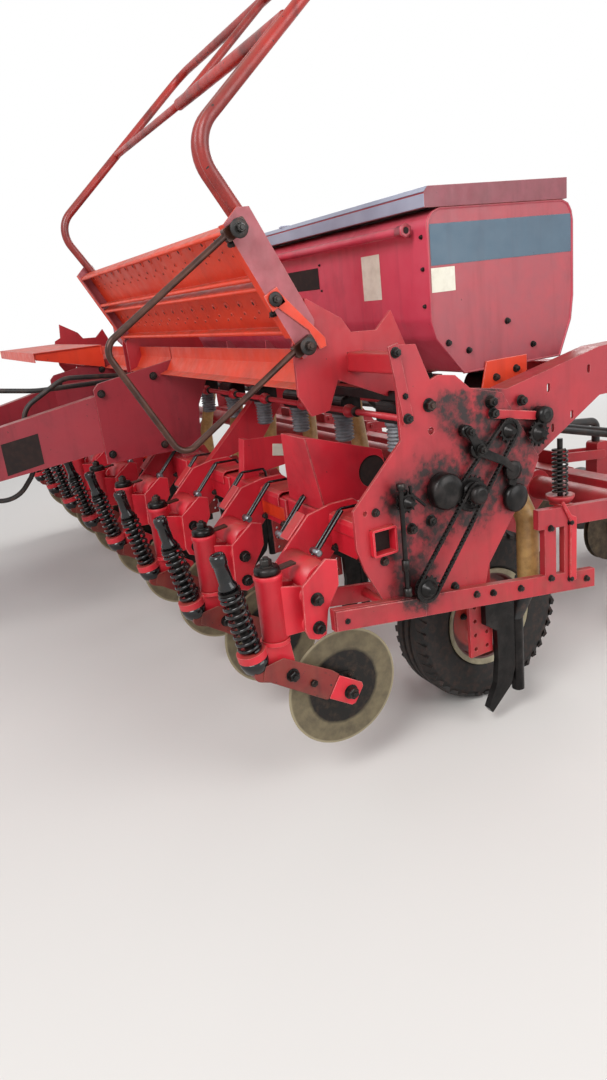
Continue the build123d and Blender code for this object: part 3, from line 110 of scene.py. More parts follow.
def ramp(tree, value, low=0.0, high=1.0, start=0.0, end=1.0):
    """Goes from start to end while the value goes from low to high."""
    return node(tree, "ShaderNodeMapRange",
                {"Value": value, "From Min": low, "From Max": high, "To Min": start,
                                             "To Max": end}).outputs["Result"]


def maths(tree, operation, *values, clamp=False):
    return node(tree, "ShaderNodeMath", dict(enumerate(values)), operation=operation,
                use_clamp=clamp).outputs["Value"]


def times(tree, first, second, operation="MULTIPLY"):
    """Two values multiplied, or joined by another operation, and held between 0 and 1."""
    return maths(tree, operation, first, second, clamp=True)


def vector_maths(tree, operation, *values, result="Vector"):
    return node(tree, "ShaderNodeVectorMath", dict(enumerate(values)), operation=operation).outputs[result]


def bump(tree, strength, distance, height, **base):
    return node(tree, "ShaderNodeBump", {"Strength": strength, "Distance": distance, "Height": height,
                                         **base}).outputs["Normal"]


def mask(tree, vector, size, low, high, detail=4.0, roughness=0.6):
    """Patches of about the given size in metres, as a value that rises from 0 at low to 1 at high."""
    return ramp(tree, cloud(tree, vector, 1 / size, detail, Roughness=roughness)["Fac"], low, high)


def mixed(tree, factor, first, second):
    """One colour over another; each is a hex code or a colour socket."""
    blend = node(tree, "ShaderNodeMix", {"Factor": factor}, data_type="RGBA")
    for key, value in (("A", first), ("B", second)):
        socket = [s for s in blend.inputs if s.name == key and s.type == "RGBA"][0]
        if isinstance(value, str):
            socket.default_value = linear(value)
        else:
            tree.links.new(value, socket)
    return [s for s in blend.outputs if s.type == "RGBA"][0]


def from_axis(tree, place, y, z):
    """Distance from an axis that runs along X."""
    offset = vector_maths(tree, "SUBTRACT", place, (0, y, z))
    return vector_maths(tree, "LENGTH", vector_maths(tree, "MULTIPLY", offset, (0, 1, 1)), result="Value")


def near_spots(tree, place, spots):
    """Clots of grease on the near side with ragged edges, and the film that fades out round them."""
    warp = cloud(tree, place, 14.0, 4.0)["Color"]
    shift = vector_maths(tree, "MULTIPLY_ADD", warp, (0.0, 0.12, 0.12), place)
    flat = vector_maths(tree, "MULTIPLY", shift, (0.0, 1.0, 1.0))
    total = 0.0
    for y, z, radius in spots:
        gap = vector_maths(tree, "DISTANCE", flat, (0.0, y + 0.06, z + 0.06), result="Value")
        total = times(tree, ramp(tree, gap, radius, radius * 0.35), total, "MAXIMUM")
    side = axis_part(tree, place, "X")
    total = times(tree, total, times(tree, side, 2.3, "GREATER_THAN"))
    torn = cloud(tree, place, 34.0, 6.0, Roughness=0.7)["Fac"]
    clots = ramp(tree, maths(tree, "MULTIPLY_ADD", torn, 1.1, total), 1.0, 1.34)
    return times(tree, clots, mask(tree, place, 0.03, 0.3, 0.56)), total


def sprayed_enamel(name, fresh, faded, soil="#7a4a38", grime=0.35, chips=0.74, gloss=0.36, top_dust=0.6,
                   painted_end_shade=None, grease=(), edges="#ea9a94"):
    """Air-dried enamel on plate: faded in patches, soil on what faces up, greasy film and chips; the pale
    edges are painted highlight, and the end colours, where given, are painted shade on faces that look along
    X.
    """
    material, tree, surface = new_material(name)
    place = object_space(tree)
    colour = mixed(tree, mask(tree, place, 0.45, 0.35, 0.7), fresh, faded)
    # Painted shade: faces that look along X are mixed towards the darker end colours, standing in for the
    # shade on the ends.
    if painted_end_shade:
        sideways = axis_part(tree, node(tree, "ShaderNodeNewGeometry").outputs["True Normal"], "X")
        ends = times(tree, maths(tree, "ABSOLUTE", sideways), 0.8, "GREATER_THAN")
        colour = mixed(tree, ends, colour, mixed(tree, mask(tree, place, 0.07, 0.3, 0.75), *painted_end_shade))
    streak_space = node(tree, "ShaderNodeMapping", {"Vector": place, "Scale": (14, 14, 1.6)})
    streaks = mask(tree, streak_space.outputs["Vector"], 1.0, 0.52, 0.8)
    colour = mixed(tree, times(tree, streaks, grime), colour, "#3d0f12")
    facing = node(tree, "ShaderNodeNewGeometry").outputs["Normal"]
    flat = ramp(tree, axis_part(tree, facing, "Z"), 0.3, 0.95)
    settled = times(tree, flat, mask(tree, place, 0.12, 0.3, 0.62))
    colour = mixed(tree, times(tree, settled, top_dust), colour, soil)
    low = ramp(tree, axis_part(tree, place, "Z"), 0.95, 0.2)
    splashed = times(tree, low, mask(tree, place, 0.09, 0.42, 0.75))
    colour = mixed(tree, times(tree, splashed, 0.75), colour, soil)
    oily = times(tree, mask(tree, place, 0.22, 0.56, 0.78), grime)
    colour = mixed(tree, oily, colour, "#1c0c0c")
    if grease:
        thick, film = near_spots(tree, place, grease)
        colour = mixed(tree, times(tree, film, 0.6), colour, "#47151a")
        colour = mixed(tree, times(tree, thick, 0.95), colour, "#0c0706")
    colour = mixed(tree, mask(tree, place, 0.016, chips, chips + 0.03, detail=2.0), colour, "#2b1a17")
    rough = ramp(tree, mask(tree, place, 0.05, 0.3, 0.7), start=gloss, end=gloss + 0.22)
    # Painted highlight: edges found from the bevel normal are mixed towards the pale edges colour, broken up
    # by noise, as if they caught the light.
    rounded = node(tree, "ShaderNodeBevel", {"Radius": 0.003}, samples=4).outputs["Normal"]
    level = vector_maths(tree, "DOT_PRODUCT", rounded, facing, result="Value")
    edge_highlight = times(tree, ramp(tree, level, 0.995, 0.88), mask(tree, place, 0.04, 0.3, 0.55))
    colour = mixed(tree, times(tree, edge_highlight, 0.6), colour, edges)
    orange_peel = bump(tree, 0.06, 0.002, cloud(tree, place, 220.0, 2.0)["Fac"], Normal=rounded)
    fill(tree, surface, {"Base Color": colour, "Roughness": rough, "Normal": orange_peel})
    return material


def worn_metal(name, dark, pale, dust="#5c3a2c", gloss=0.35, metallic=0.85, dusty=0.5, scale=0.05):
    """Bare or oiled steel: darker and paler patches, with dry soil caught on it."""
    material, tree, surface = new_material(name)
    place = object_space(tree)
    colour = mixed(tree, mask(tree, place, scale, 0.35, 0.7), dark, pale)
    caught = times(tree, mask(tree, place, scale * 1.7, 0.5, 0.72), dusty)
    colour = mixed(tree, caught, colour, dust)
    metal = ramp(tree, caught, start=metallic, end=0.0)
    rough = ramp(tree, caught, start=gloss, end=0.9)
    rounded = node(tree, "ShaderNodeBevel", {"Radius": 0.0015}, samples=4).outputs["Normal"]
    pits = bump(tree, 0.15, 0.002, cloud(tree, place, 180.0, 3.0)["Fac"], Normal=rounded)
    fill(tree, surface, {"Base Color": colour, "Metallic": metal, "Roughness": rough, "Normal": pits})
    return material


def moulded(name, base, worn, gloss=0.5, dust="#6b4736", dusty=0.5):
    """Moulded rubber or plastic, dulled and dusty, without metal in it."""
    material, tree, surface = new_material(name)
    place = object_space(tree)
    colour = mixed(tree, mask(tree, place, 0.08, 0.35, 0.7), base, worn)
    colour = mixed(tree, times(tree, mask(tree, place, 0.03, 0.45, 0.75), dusty), colour, dust)
    grain = bump(tree, 0.12, 0.001, cloud(tree, place, 300.0, 2.0)["Fac"])
    fill(tree, surface, {"Base Color": colour, "Normal": grain, "Roughness": gloss})
    return material


def ground_disc(name):
    """Disc blade: rim scoured to dusty olive steel, centre black with grease, a ragged border between."""
    material, tree, surface = new_material(name)
    place = object_space(tree)
    reach = from_axis(tree, place, *COULTER_HUB)
    ragged = maths(tree, "MULTIPLY_ADD", cloud(tree, place, 22.0, 3.0)["Fac"], 0.009, reach)
    rim = ramp(tree, ragged, 0.144, 0.158)
    edge = ramp(tree, reach, 0.217, 0.223)
    olive = mixed(tree, mask(tree, place, 0.05, 0.35, 0.7), "#786d54", "#5a5140")
    olive = mixed(tree, edge, olive, "#9a8f74")
    centre = mixed(tree, mask(tree, place, 0.03, 0.5, 0.75), "#14110f", "#3a2c22")
    grooves = maths(tree, "SINE", maths(tree, "MULTIPLY", reach, 900.0))
    fill(tree, surface, {"Base Color": mixed(tree, rim, centre, olive), "Metallic": 0.35,
                         "Roughness": ramp(tree, rim, start=0.34, end=0.5),
                         "Normal": bump(tree, 0.08, 0.001, grooves)})
    return material


def painted_rim(name):
    """Wheel rim: red centre, a darker band over the well and pale weathered flange, by distance from the hub.
    """
    material = sprayed_enamel(name, "#c0241e", "#9c2822", grime=0.6)
    tree = material.node_tree
    surface = [n for n in tree.nodes if n.bl_idname == "ShaderNodeBsdfPrincipled"][0]
    place = object_space(tree)
    reach = from_axis(tree, place, *WHEEL_AT[1:])
    well = ramp(tree, reach, 0.15, 0.165)
    flange = ramp(tree, reach, 0.196, 0.2)
    # Darker towards the well: the band between the red centre and the flange is mixed towards near-black.
    red = surface.inputs["Base Color"].links[0].from_socket
    dirty = mixed(tree, times(tree, well, 0.85), red, "#241310")
    cream = mixed(tree, mask(tree, place, 0.06, 0.35, 0.7), "#b3aa8b", "#857a60")
    fill(tree, surface, {"Base Color": mixed(tree, flange, dirty, cream)})
    return material


# Grease on the near side plate: Y, Z and radius of each patch
DRIVE_GREASE = [
    (0.25, 1.12, 0.19), (0.4, 1.04, 0.2), (0.44, 1.24, 0.18), (0.57, 1.25, 0.15), (0.7, 1.23, 0.17),
    (0.6, 1.06, 0.18), (0.085, 1.1, 0.13), (0.13, 0.79, 0.17), (0.34, 1.36, 0.13), (0.22, 0.95, 0.12),
    (0.07, 0.94, 0.1), (0.5, 1.4, 0.1)]

# Enamel, each in the tone that part shows. The tones carry painted light: the orange of the platform parts
# and channels is the red paint's lit tone, and the hopper's pink is the red paint with painted highlight in
# it.
frame_red = sprayed_enamel("frame_enamel", "#b8202a", "#9a242c")
plate_red = sprayed_enamel("side_plate_enamel", "#b3262f", "#992a33", grease=DRIVE_GREASE)
coulter_red = sprayed_enamel("coulter_enamel", "#cf1f30", "#b41d2c", grime=0.25)
arm_red = sprayed_enamel("dirty_arm_enamel", "#7c211d", "#4e1d18", grime=0.85, chips=0.68, edges="#9c6a58")
drawbar_red = sprayed_enamel("drawbar_enamel", "#982833", "#81252f", grime=0.45, chips=0.71)
lit_red = sprayed_enamel("platform_enamel_lit_tone", "#e0401a", "#cf3418", grime=0.2, chips=0.76)
channel_red = sprayed_enamel("channel_enamel", "#e63c18", "#d23417", grime=0.2, chips=0.76,
                             painted_end_shade=("#8e4348", "#a8545c"))
rail_red = sprayed_enamel("guard_rail_enamel", "#b0281e", "#74251f", grime=0.75, chips=0.7, gloss=0.26)
hopper_red = sprayed_enamel("hopper_enamel", "#c4304a", "#cc5264", grime=0.3, chips=0.77, gloss=0.3,
                            painted_end_shade=("#a4424a", "#93454d"))
lid_red = sprayed_enamel("lid_enamel", "#a4303a", "#8a3a44", grime=0.4, chips=0.74, gloss=0.35,
                         painted_end_shade=("#84404a", "#74383f"))
greasy_steel = worn_metal("greasy_steel", "#0c0b0b", "#242120", dust="#2e2320", gloss=0.3, metallic=0.6)
spring_steel = worn_metal("blued_spring_steel", "#07080a", "#0d0e11", gloss=0.09, metallic=0.0, dusty=0.1)
bolt_steel = worn_metal("bolt_steel", "#151515", "#3a3836", gloss=0.35, metallic=0.7, dusty=0.4)
bright_steel = worn_metal("plated_steel", "#7c8084", "#9da1a6", dust="#4a2a22", gloss=0.3, metallic=0.9,
                          dusty=0.5, scale=0.02)
disc_steel = worn_metal("ground_disc_steel", "#3a332b", "#6a5c47", dust="#5a4636", gloss=0.5, metallic=0.5)
rusty_bar = worn_metal("rusty_bar", "#2e1812", "#4a2a1d", dust="#5e3828", gloss=0.34, metallic=0.4)
tyre_rubber = moulded("tyre_rubber", "#0e0d0c", "#191614", gloss=0.66, dust="#452c22", dusty=0.65)
soft_rubber = moulded("moulded_rubber", "#101010", "#1d1b1a", gloss=0.55, dusty=0.35)
tube_plastic = moulded("amber_tube", "#a8804a", "#c39c60", gloss=0.4, dust="#6a4a30", dusty=0.5)
slate_stripe = sprayed_enamel("slate_stripe", "#4c6272", "#435767", grime=0.15, chips=0.78, top_dust=0.2)
bare_white = moulded("bare_plate", "#dcd8c8", "#cfcab8", gloss=0.6, dusty=0.15)
bare_sheet = worn_metal("weathered_sheet", "#8d92a6", "#a2a7ba", dust="#6e6a78", gloss=0.34, metallic=0.35,
                        dusty=0.3, scale=0.3)
blade_steel = ground_disc("scoured_blade")
rim_paint = painted_rim("rim_paint")
# Near-black finish: painted shade in the tread holes, the handrail bores and behind the box holes, and also
# the real dark patches on the hopper front and the drawbar beam and the toolbar's end plugs.
shade_and_dark_patches = moulded("painted_shade_and_dark_patches", "#150a09", "#1f0f0c", gloss=0.9, dusty=0.1)
sleeve_grey = moulded("ribbed_sleeve", "#6a6f74", "#8a8e92", gloss=0.4, dust="#4a3a34", dusty=0.6)
black_plastic = moulded("ribbed_tube", "#0d0d0d", "#191919", gloss=0.4, dusty=0.2)

FINISHES = [
    (hopper_red, ["hopper_shell", "hopper_brackets", "hopper_handrail"]),
    (lid_red, ["hopper_lid"]),
    (lit_red, ["platform_planks", "deck_sheets"]),
    (channel_red, ["platform_sides"]),
    (rail_red, ["platform_rail"]),
    (plate_red, ["side_plates", "side_rails", "rear_arms"]),
    (coulter_red, ["coulter_clamps", "coulter_brackets", "toolbar_brackets", "front_toolbar"]),
    (arm_red, ["coulter_arms"]),
    (drawbar_red, ["drawbar_plates", "drawbar_beams", "hitch_tongue", "jack_sleeve", "jack_leg"]),
    (greasy_steel, ["coulter_rods", "coulter_springs", "metering_units", "drive_train", "furrow_shanks"]),
    (disc_steel, ["opener_discs"]),
    (blade_steel, [f"coulter_disc_{n}" for n in range(1, 10)]),
    (rusty_bar, ["platform_step"]),
    (rim_paint, ["wheel_rim_near", "wheel_rim_far"]),
    (tyre_rubber, ["wheel_tyre_near", "wheel_tyre_far"]),
    (soft_rubber, ["tube_boots", "hydraulic_hoses"] + [f"press_wheel_{n}" for n in range(1, 10)]),
    (tube_plastic, ["feed_tubes"]),
    (black_plastic, ["seed_tubes"]),
]
finish_of = {name: finish for finish, names in FINISHES for name in names}
for name, solid in nodes.items():
    solid.data.materials.clear()
    solid.data.materials.append(finish_of.get(name, frame_red))

# The slot that a finish goes to, where the piece doesn't name another
SLOTS = {
    "red_paint": [frame_red, plate_red, coulter_red, arm_red, lit_red, hopper_red, slate_stripe,
                  bare_white, bare_sheet],
    "black_steel": [greasy_steel, spring_steel, bolt_steel, bright_steel, rusty_bar, shade_and_dark_patches],
    "black_rubber": [soft_rubber, sleeve_grey],
    "tyre_rubber": [tyre_rubber],
}
slot_of = {finish.name: slot for slot, finishes in SLOTS.items() for finish in finishes}

# Camera, where the photograph was taken from
view_axes = Matrix(((0.4734, -0.2245, 0.8518), (0.8740, 0.2402, -0.4225), (-0.1097, 0.9444, 0.3099)))
lens = bpy.data.cameras.new("camera")
lens.lens = 24.92
camera = bpy.data.objects.new("camera", lens)
camera.matrix_world = Matrix.Translation((4.576, -1.333, 1.811)) @ view_axes.to_4x4()
scene.collection.objects.link(camera)
scene.camera = camera
scene.view_settings.view_transform = "Standard"


def add_piece(name, mesh, finish, body, slot):
    """Links a finished mesh under its name, with its finish, and lets it ride on its body."""
    slot = slot or slot_of[finish.name]
    mesh.materials.clear()
    mesh.materials.append(finish)
    piece = bpy.data.objects.new(name, mesh)
    scene.collection.objects.link(piece)
    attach(piece, body)
    return piece


def baked(worker):
    """The working object's evaluated shape as a plain mesh; the working object goes."""
    if worker.name not in scene.collection.objects:
        scene.collection.objects.link(worker)
    bpy.context.view_layer.update()
    graph = bpy.context.evaluated_depsgraph_get()
    mesh = bpy.data.meshes.new_from_object(worker.evaluated_get(graph), depsgraph=graph)
    bpy.data.objects.remove(worker)
    return mesh


def from_shape(name, shape, finish, body, slot):
    """Keeps a worked shape as a plain piece."""
    mesh = bpy.data.meshes.new(name)
    shape.to_mesh(mesh)
    shape.free()
    return add_piece(name, mesh, finish, body, slot)


def slabs(name, table, finish, body="frame", slot=None, edge=0.0015):
    """Flat plates with rounded edges: each has its corners in space and the push that gives its thickness."""
    shape = bmesh.new()
    for corners, push in table:
        face = shape.faces.new([shape.verts.new(corner) for corner in corners])
        grown = bmesh.ops.extrude_face_region(shape, geom=[face])["geom"]
        bmesh.ops.translate(shape, verts=[v for v in grown if isinstance(v, bmesh.types.BMVert)], vec=push)
    bmesh.ops.recalc_face_normals(shape, faces=shape.faces)
    bmesh.ops.bevel(shape, geom=shape.edges[:], offset=edge, segments=2, affect="EDGES", clamp_overlap=True)
    return from_shape(name, shape, finish, body, slot)


def across(x, outline):
    """An outline in Y and Z, stood up at x."""
    return [(x, y, z) for y, z in outline]


def sheet(y, left, right, low, high):
    """The corners of an upright rectangle at y."""
    return [(left, y, low), (right, y, low), (right, y, high), (left, y, high)]


def both_sides(x, outline, thick):
    """An outline stood up at x and its twin on the other side, each thickened outwards."""
    return [(across(side * x, outline), (side * thick, 0, 0)) for side in (1, -1)]


def rods(name, table, finish, body="frame", slot=None, sides=4, cyclic=False):
    """Round bars along the given points, each with its own radius, in one mesh with closed ends."""
    path = bpy.data.curves.new(name, "CURVE")
    path.dimensions = "3D"
    path.bevel_depth = 1.0
    path.bevel_resolution = sides
    path.use_fill_caps = not cyclic
    for points, radius in table:
        run = path.splines.new("POLY")
        run.points.add(len(points) - 1)
        for slot_point, point in zip(run.points, points):
            slot_point.co = (*point, 1.0)
            slot_point.radius = radius
        run.use_cyclic_u = cyclic
        run.use_smooth = True
    return add_piece(name, baked(bpy.data.objects.new(name + "_path", path)), finish, body, slot)


def turned(name, table, finish, body="frame", slot=None, steps=28):
    """Turned pieces: each has its centre, the way its axis points, and pairs of radius and place along it."""
    shape = bmesh.new()
    for centre, axis, profile in table:
        turn = Vector(UP).rotation_difference(Vector(axis)).to_matrix()
        rings = []
        for radius, along in profile:
            ring = []
            for step in range(steps):
                angle = 2 * pi * step / steps
                spot = turn @ Vector((radius * cos(angle), radius * sin(angle), along)) + Vector(centre)
                ring.append(shape.verts.new(spot))
            rings.append(ring)
        for low, high in zip(rings, rings[1:]):
            for step in range(steps):
                after = (step + 1) % steps
                shape.faces.new((low[step], low[after], high[after], high[step])).smooth = True
        shape.faces.new(rings[0][::-1])
        shape.faces.new(rings[-1])
    bmesh.ops.remove_doubles(shape, verts=shape.verts, dist=1e-6)
    bmesh.ops.recalc_face_normals(shape, faces=shape.faces)
    return from_shape(name, shape, finish, body, slot)


def node_tree(name, *sockets):
    """A Geometry Nodes tree with a geometry input and output and the named inputs."""
    tree = bpy.data.node_groups.new(name, "GeometryNodeTree")
    tree.interface.new_socket("Geometry", in_out="INPUT", socket_type="NodeSocketGeometry")
    tree.interface.new_socket("Geometry", in_out="OUTPUT", socket_type="NodeSocketGeometry")
    for label, kind in sockets:
        tree.interface.new_socket(label, in_out="INPUT", socket_type="NodeSocket" + kind)
    return tree, tree.nodes.new("NodeGroupInput").outputs


def spots(name, places):
    """Working points, each with the way it faces and its size."""
    mesh = bpy.data.meshes.new(name)
    mesh.from_pydata([place for place, aim, size in places], [], [])
    mesh.attributes.new("aim", "FLOAT_VECTOR", "POINT")
    mesh.attributes.new("size", "FLOAT", "POINT")
    for at, (place, aim, size) in enumerate(places):
        mesh.attributes["aim"].data[at].vector = Vector(aim).normalized()
        mesh.attributes["size"].data[at].value = size
    return mesh


def grown(name, mesh, tree, finish, body="frame", slot=None, **sizes):
    """Runs a tree on a working mesh and keeps the result as a plain piece."""
    worker = bpy.data.objects.new(name + "_work", mesh)
    scene.collection.objects.link(worker)
    steps = worker.modifiers.new("grow", "NODES")
    steps.node_group = tree
    values = {"Finish": finish, **sizes}
    for socket in tree.interface.items_tree:
        if socket.in_out == "INPUT" and socket.name in values:
            steps[socket.identifier] = values[socket.name]
    return add_piece(name, baked(worker), finish, body, slot)


def end_tree(tree, given, placed):
    """Ends a tree: its instances become real and take the finish."""
    real = node(tree, "GeometryNodeRealizeInstances", {"Geometry": placed.outputs["Instances"]})
    dressed = node(tree, "GeometryNodeSetMaterial", {"Geometry": real.outputs["Geometry"],
                                                     "Material": given["Finish"]})
    node(tree, "NodeGroupOutput", {"Geometry": dressed.outputs["Geometry"]})


def stood_on_points(tree, given, template):
    """Ends a tree: the template stands on each point, turned to its aim and scaled to its size."""
    aim = node(tree, "GeometryNodeInputNamedAttribute", {"Name": "aim"}, data_type="FLOAT_VECTOR")
    size = node(tree, "GeometryNodeInputNamedAttribute", {"Name": "size"}, data_type="FLOAT")
    turn = node(tree, "FunctionNodeAlignRotationToVector", {"Vector": aim.outputs["Attribute"]}, axis="Z")
    end_tree(tree, given, node(tree, "GeometryNodeInstanceOnPoints", {
        "Points": given["Geometry"], "Instance": template, "Rotation": turn.outputs["Rotation"],
        "Scale": size.outputs["Attribute"]}))


def shifted(tree, geometry, **how):
    """The geometry moved, turned or stretched by the named sockets."""
    return node(tree, "GeometryNodeTransform", {"Geometry": geometry, **how}).outputs["Geometry"]


def joined(tree, parts):
    """Several geometries as one."""
    together = tree.nodes.new("GeometryNodeJoinGeometry")
    for part in parts:
        tree.links.new(part, together.inputs["Geometry"])
    return together.outputs["Geometry"]


def stack_tree(name, rounds):
    """A tree that stands coaxial rounds on each point: corners, foot and top radius, height of each."""
    tree, given = node_tree(name, ("Finish", "Material"))
    parts, foot = [], 0.0
    for corners, low, high, tall in rounds:
        made = node(tree, "GeometryNodeMeshCone",
                    {"Vertices": corners, "Radius Bottom": low, "Radius Top": high,
                                                   "Depth": tall})
        parts.append(shifted(tree, made.outputs["Mesh"], Translation=(0, 0, foot)))
        foot += tall
    stood_on_points(tree, given, joined(tree, parts))
    return tree


# Hex bolt of unit width across its flats: washer, head, its chamfer and a nub of thread
bolt_tree = stack_tree("hex_bolts", [
    (18, 0.72, 0.7, 0.1), (6, 0.577, 0.577, 0.5), (6, 0.577, 0.48, 0.1), (10, 0.3, 0.27, 0.2)])

# Raised hole of a tread plank: a dished collar round a dark opening
dimple_tree = stack_tree("tread_dimples", [(14, 1.0, 0.92, 0.12), (14, 0.92, 0.66, 0.16)])
hole_tree = stack_tree("tread_openings", [(12, 1.0, 1.0, 0.45)])


def bolts(name, places, body="frame", slot=None):
    """Hex bolts, each with its place, the way it faces and its width."""
    return grown(name, spots(name + "_spots", places), bolt_tree, bolt_steel, body, slot)


def bolt_ring(count, x, centre, radius, way, size, start=0.0):
    """Places of bolts evenly round an axis along X, all facing one way along it."""
    angles = [turn * pi / (count / 2) + start for turn in range(count)]
    return [((x, centre[0] + radius * cos(angle), centre[1] + radius * sin(angle)), (way, 0, 0), size)
            for angle in angles]


# Places along a coulter's leaning rod, in the plane of its row
ROD_WAY = Vector((0, -sin(ROD_LEAN), cos(ROD_LEAN)))


def on_rod(x, along):
    """A place on the axis of a coulter's rod."""
    return Vector((x, *RING_AT)) + ROD_WAY * along


def on_platform(x, out, up):
    """A place on the folded platform: out along the deck from its pivot, and up from the deck's plane."""
    return Vector((x, PIVOT[0] - out * cos(FOLD) + up * sin(FOLD),
                   PIVOT[1] + out * sin(FOLD) + up * cos(FOLD)))


# True coils of the coulter springs, ground flat against their seats by a closed turn at each end
SPRING_FOOT, SPRING_HEAD = 0.014, 0.248
COIL_RADIUS, WIRE = 0.0365, 0.0063
COILS, COIL_STEPS, CLOSED = 9, 18, 0.9
SPRING_RISE = SPRING_HEAD - SPRING_FOOT - 2 * WIRE
coil_paths = []
for x in ROW_X:
    path_points = []
    for step in range(COILS * COIL_STEPS + 1):
        turn = step / COIL_STEPS
        closed_rise = WIRE * 2 * CLOSED
        if turn < CLOSED:
            rise = WIRE * 2 * turn
        elif turn > COILS - CLOSED:
            rise = SPRING_RISE - WIRE * 2 * (COILS - turn)
        else:
            rise = closed_rise + (turn - CLOSED) / (COILS - 2 * CLOSED) * (SPRING_RISE - 2 * closed_rise)
        angle = 2 * pi * turn
        sideways = Vector(NEAR) * cos(angle) + ROD_WAY.cross(Vector(NEAR)) * sin(angle)
        path_points.append(on_rod(x, SPRING_FOOT + WIRE + rise) + sideways * COIL_RADIUS)
    coil_paths.append((path_points, WIRE))
coils = rods("coil_springs", coil_paths, spring_steel, sides=2)
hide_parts("coulter_springs")

# Rod sleeves above the springs, and the greasy cups that hang under the rings
sleeve = [(0.034, 0.262), (0.033, 0.272), (0.025, 0.286), (0.0245, 0.35), (0.0275, 0.353), (0.0275, 0.38),
          (0.023, 0.388), (0.012, 0.389), (0.011, 0.384)]
turned("rod_sleeves", [((x, *RING_AT), ROD_WAY, sleeve) for x in ROW_X], spring_steel)
cup = [(0.018, -0.073), (0.03, -0.07), (0.043, -0.058), (0.05, -0.036), (0.0515, -0.0145), (0.047, -0.0145)]
turned("ring_cups", [((x, *RING_AT), ROD_WAY, cup) for x in ROW_X], spring_steel)

# Coulter clamps: inner plate hooked over the toolbar, short outer plate, pipe and bushes between them
INNER_PLATE = [(0.075, 0.93), (0.075, 1.05), (0.045, 1.074), (-0.05, 1.074), (-0.15, 1.053), (-0.23, 0.976),
               (-0.322, 0.885), (-0.328, 0.73), (-0.312, 0.69), (-0.25, 0.69), (-0.0525, 0.89),
               (-0.0525, 1.0275), (0.0525, 1.0275), (0.0525, 0.93)]
OUTER_PLATE = [(-0.178, 0.95), (-0.222, 0.964), (-0.321, 0.889), (-0.328, 0.73), (-0.314, 0.695),
               (-0.28, 0.682), (-0.248, 0.692), (-0.232, 0.78), (-0.18, 0.86)]
CHEEK = [(-0.385, 0.71), (-0.27, 0.705), (-0.252, 0.73), (-0.252, 0.85), (-0.275, 0.87), (-0.385, 0.895)]
CAP_SHEET = [(-0.0705, 0.985), (-0.0705, 1.022), (-0.064, 1.038), (-0.048, 1.0455), (0.07, 1.0455),
             (0.07, 0.99), (0.0635, 0.99), (0.0635, 1.039), (-0.046, 1.039), (-0.058, 1.032),
             (-0.064, 1.02), (-0.064, 0.985)]
clamp_plates, clamp_caps, clamp_rounds, swivel_tops, swivel_straps = [], [], [], [], []
for x in ROW_X:
    out = -1 if x < MIRRORED_FROM else 1
    inner, outer, wing = x - out * CLAMP_IN, x + out * CLAMP_OUT, x - out * 0.225
    clamp_plates.append((across(inner, INNER_PLATE), (out * CLAMP_THICK, 0, 0)))
    clamp_plates.append((across(outer, OUTER_PLATE), (-out * CLAMP_THICK, 0, 0)))
    for cheek in (-0.04, 0.03):
        clamp_plates.append((across(x + cheek, CHEEK), (0.01, 0, 0)))
    low_x, high_x = sorted((x - out * 0.149, outer))
    for y, way in ((-0.0505, -CLAMP_THICK), (0.0505, CLAMP_THICK)):
        clamp_plates.append((sheet(y, low_x, high_x, 0.9, 1.022), (0, way, 0)))
    clamp_plates.append(([(inner, -0.152, 1.05), (wing, -0.152, 1.05), (wing, -0.234, 0.97),
                          (inner, -0.234, 0.97)], (0, -0.005, 0.006)))
    if abs(abs(x) - DRAWBAR_X) > 0.02:
        clamp_caps.append((across(x - out * 0.145, CAP_SHEET), (out * 0.18, 0, 0)))
    for y, z, radius in ((-0.24, 0.885, 0.062), (-0.285, 0.838, 0.03), (-0.288, 0.732, 0.03)):
        clamp_rounds.append(((x - out * 0.15, y, z), (out, 0, 0), [(radius, 0), (radius, 0.224)]))
    clamp_rounds.append(((x, SWIVEL_Y, 0.7), UP, [
        (0.042, 0), (0.047, 0.002), (0.047, 0.219), (0.0505, 0.222), (0.0505, 0.236), (0.048, 0.238)]))
    swivel_tops.append(((x, SWIVEL_Y, SWIVEL_TOP), UP, [
        (0.04, 0), (0.045, 0.002), (0.045, 0.018), (0.04, 0.026), (0.022, 0.027)]))
    swivel_straps.append(([(x - 0.018, -0.4, SWIVEL_TOP), (x + 0.018, -0.4, SWIVEL_TOP),
                           (x + 0.018, -0.3, 0.948), (x - 0.018, -0.3, 0.948)], (0, 0, 0.008)))
clamps = slabs("clamp_plates", clamp_plates, coulter_red, edge=0.002)
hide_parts("coulter_clamps")
turned("clamp_rounds", clamp_rounds, coulter_red, steps=32)
slabs("clamp_caps", clamp_caps, coulter_red, edge=0.001)
turned("swivel_caps", swivel_tops, greasy_steel)
slabs("swivel_straps", swivel_straps, rusty_bar)
collar = [(-0.066, 0.912), (0.066, 0.912), (0.066, 1.041), (-0.066, 1.041)]
slabs("toolbar_collars", both_sides(2.43, collar, 0.045), coulter_red, edge=0.01)

# Fasteners of the coulter units
unit_bolts = []
for x in ROW_X:
    out = -1 if x < MIRRORED_FROM else 1
    unit_bolts += [((x + out * CLAMP_OUT, -0.272, 0.832), (out, 0, 0), 0.034),
                   ((x + out * CLAMP_OUT, -0.276, 0.728), (out, 0, 0), 0.034),
                   ((x + 0.0385, *ARM_PIVOT), NEAR, 0.036), ((x + 0.0417, *COULTER_HUB), NEAR, 0.04),
                   ((x + 0.0385, -0.3, 0.503), NEAR, 0.024), ((x, SWIVEL_Y, 0.965), UP, 0.036)]
    unit_bolts += [((x + bolt_x, -0.0625, 0.914), FRONT, 0.022) for bolt_x in (out * 0.06, out * -0.12)]
bolts("coulter_bolts", unit_bolts)
for number, x in enumerate(ROW_X, start=1):
    bolts(f"hub_bolts_{number}", bolt_ring(8, x - 0.0015, COULTER_HUB, 0.049, 1, 0.014, start=0.2),
          f"coulter_{number}", "disc_steel")

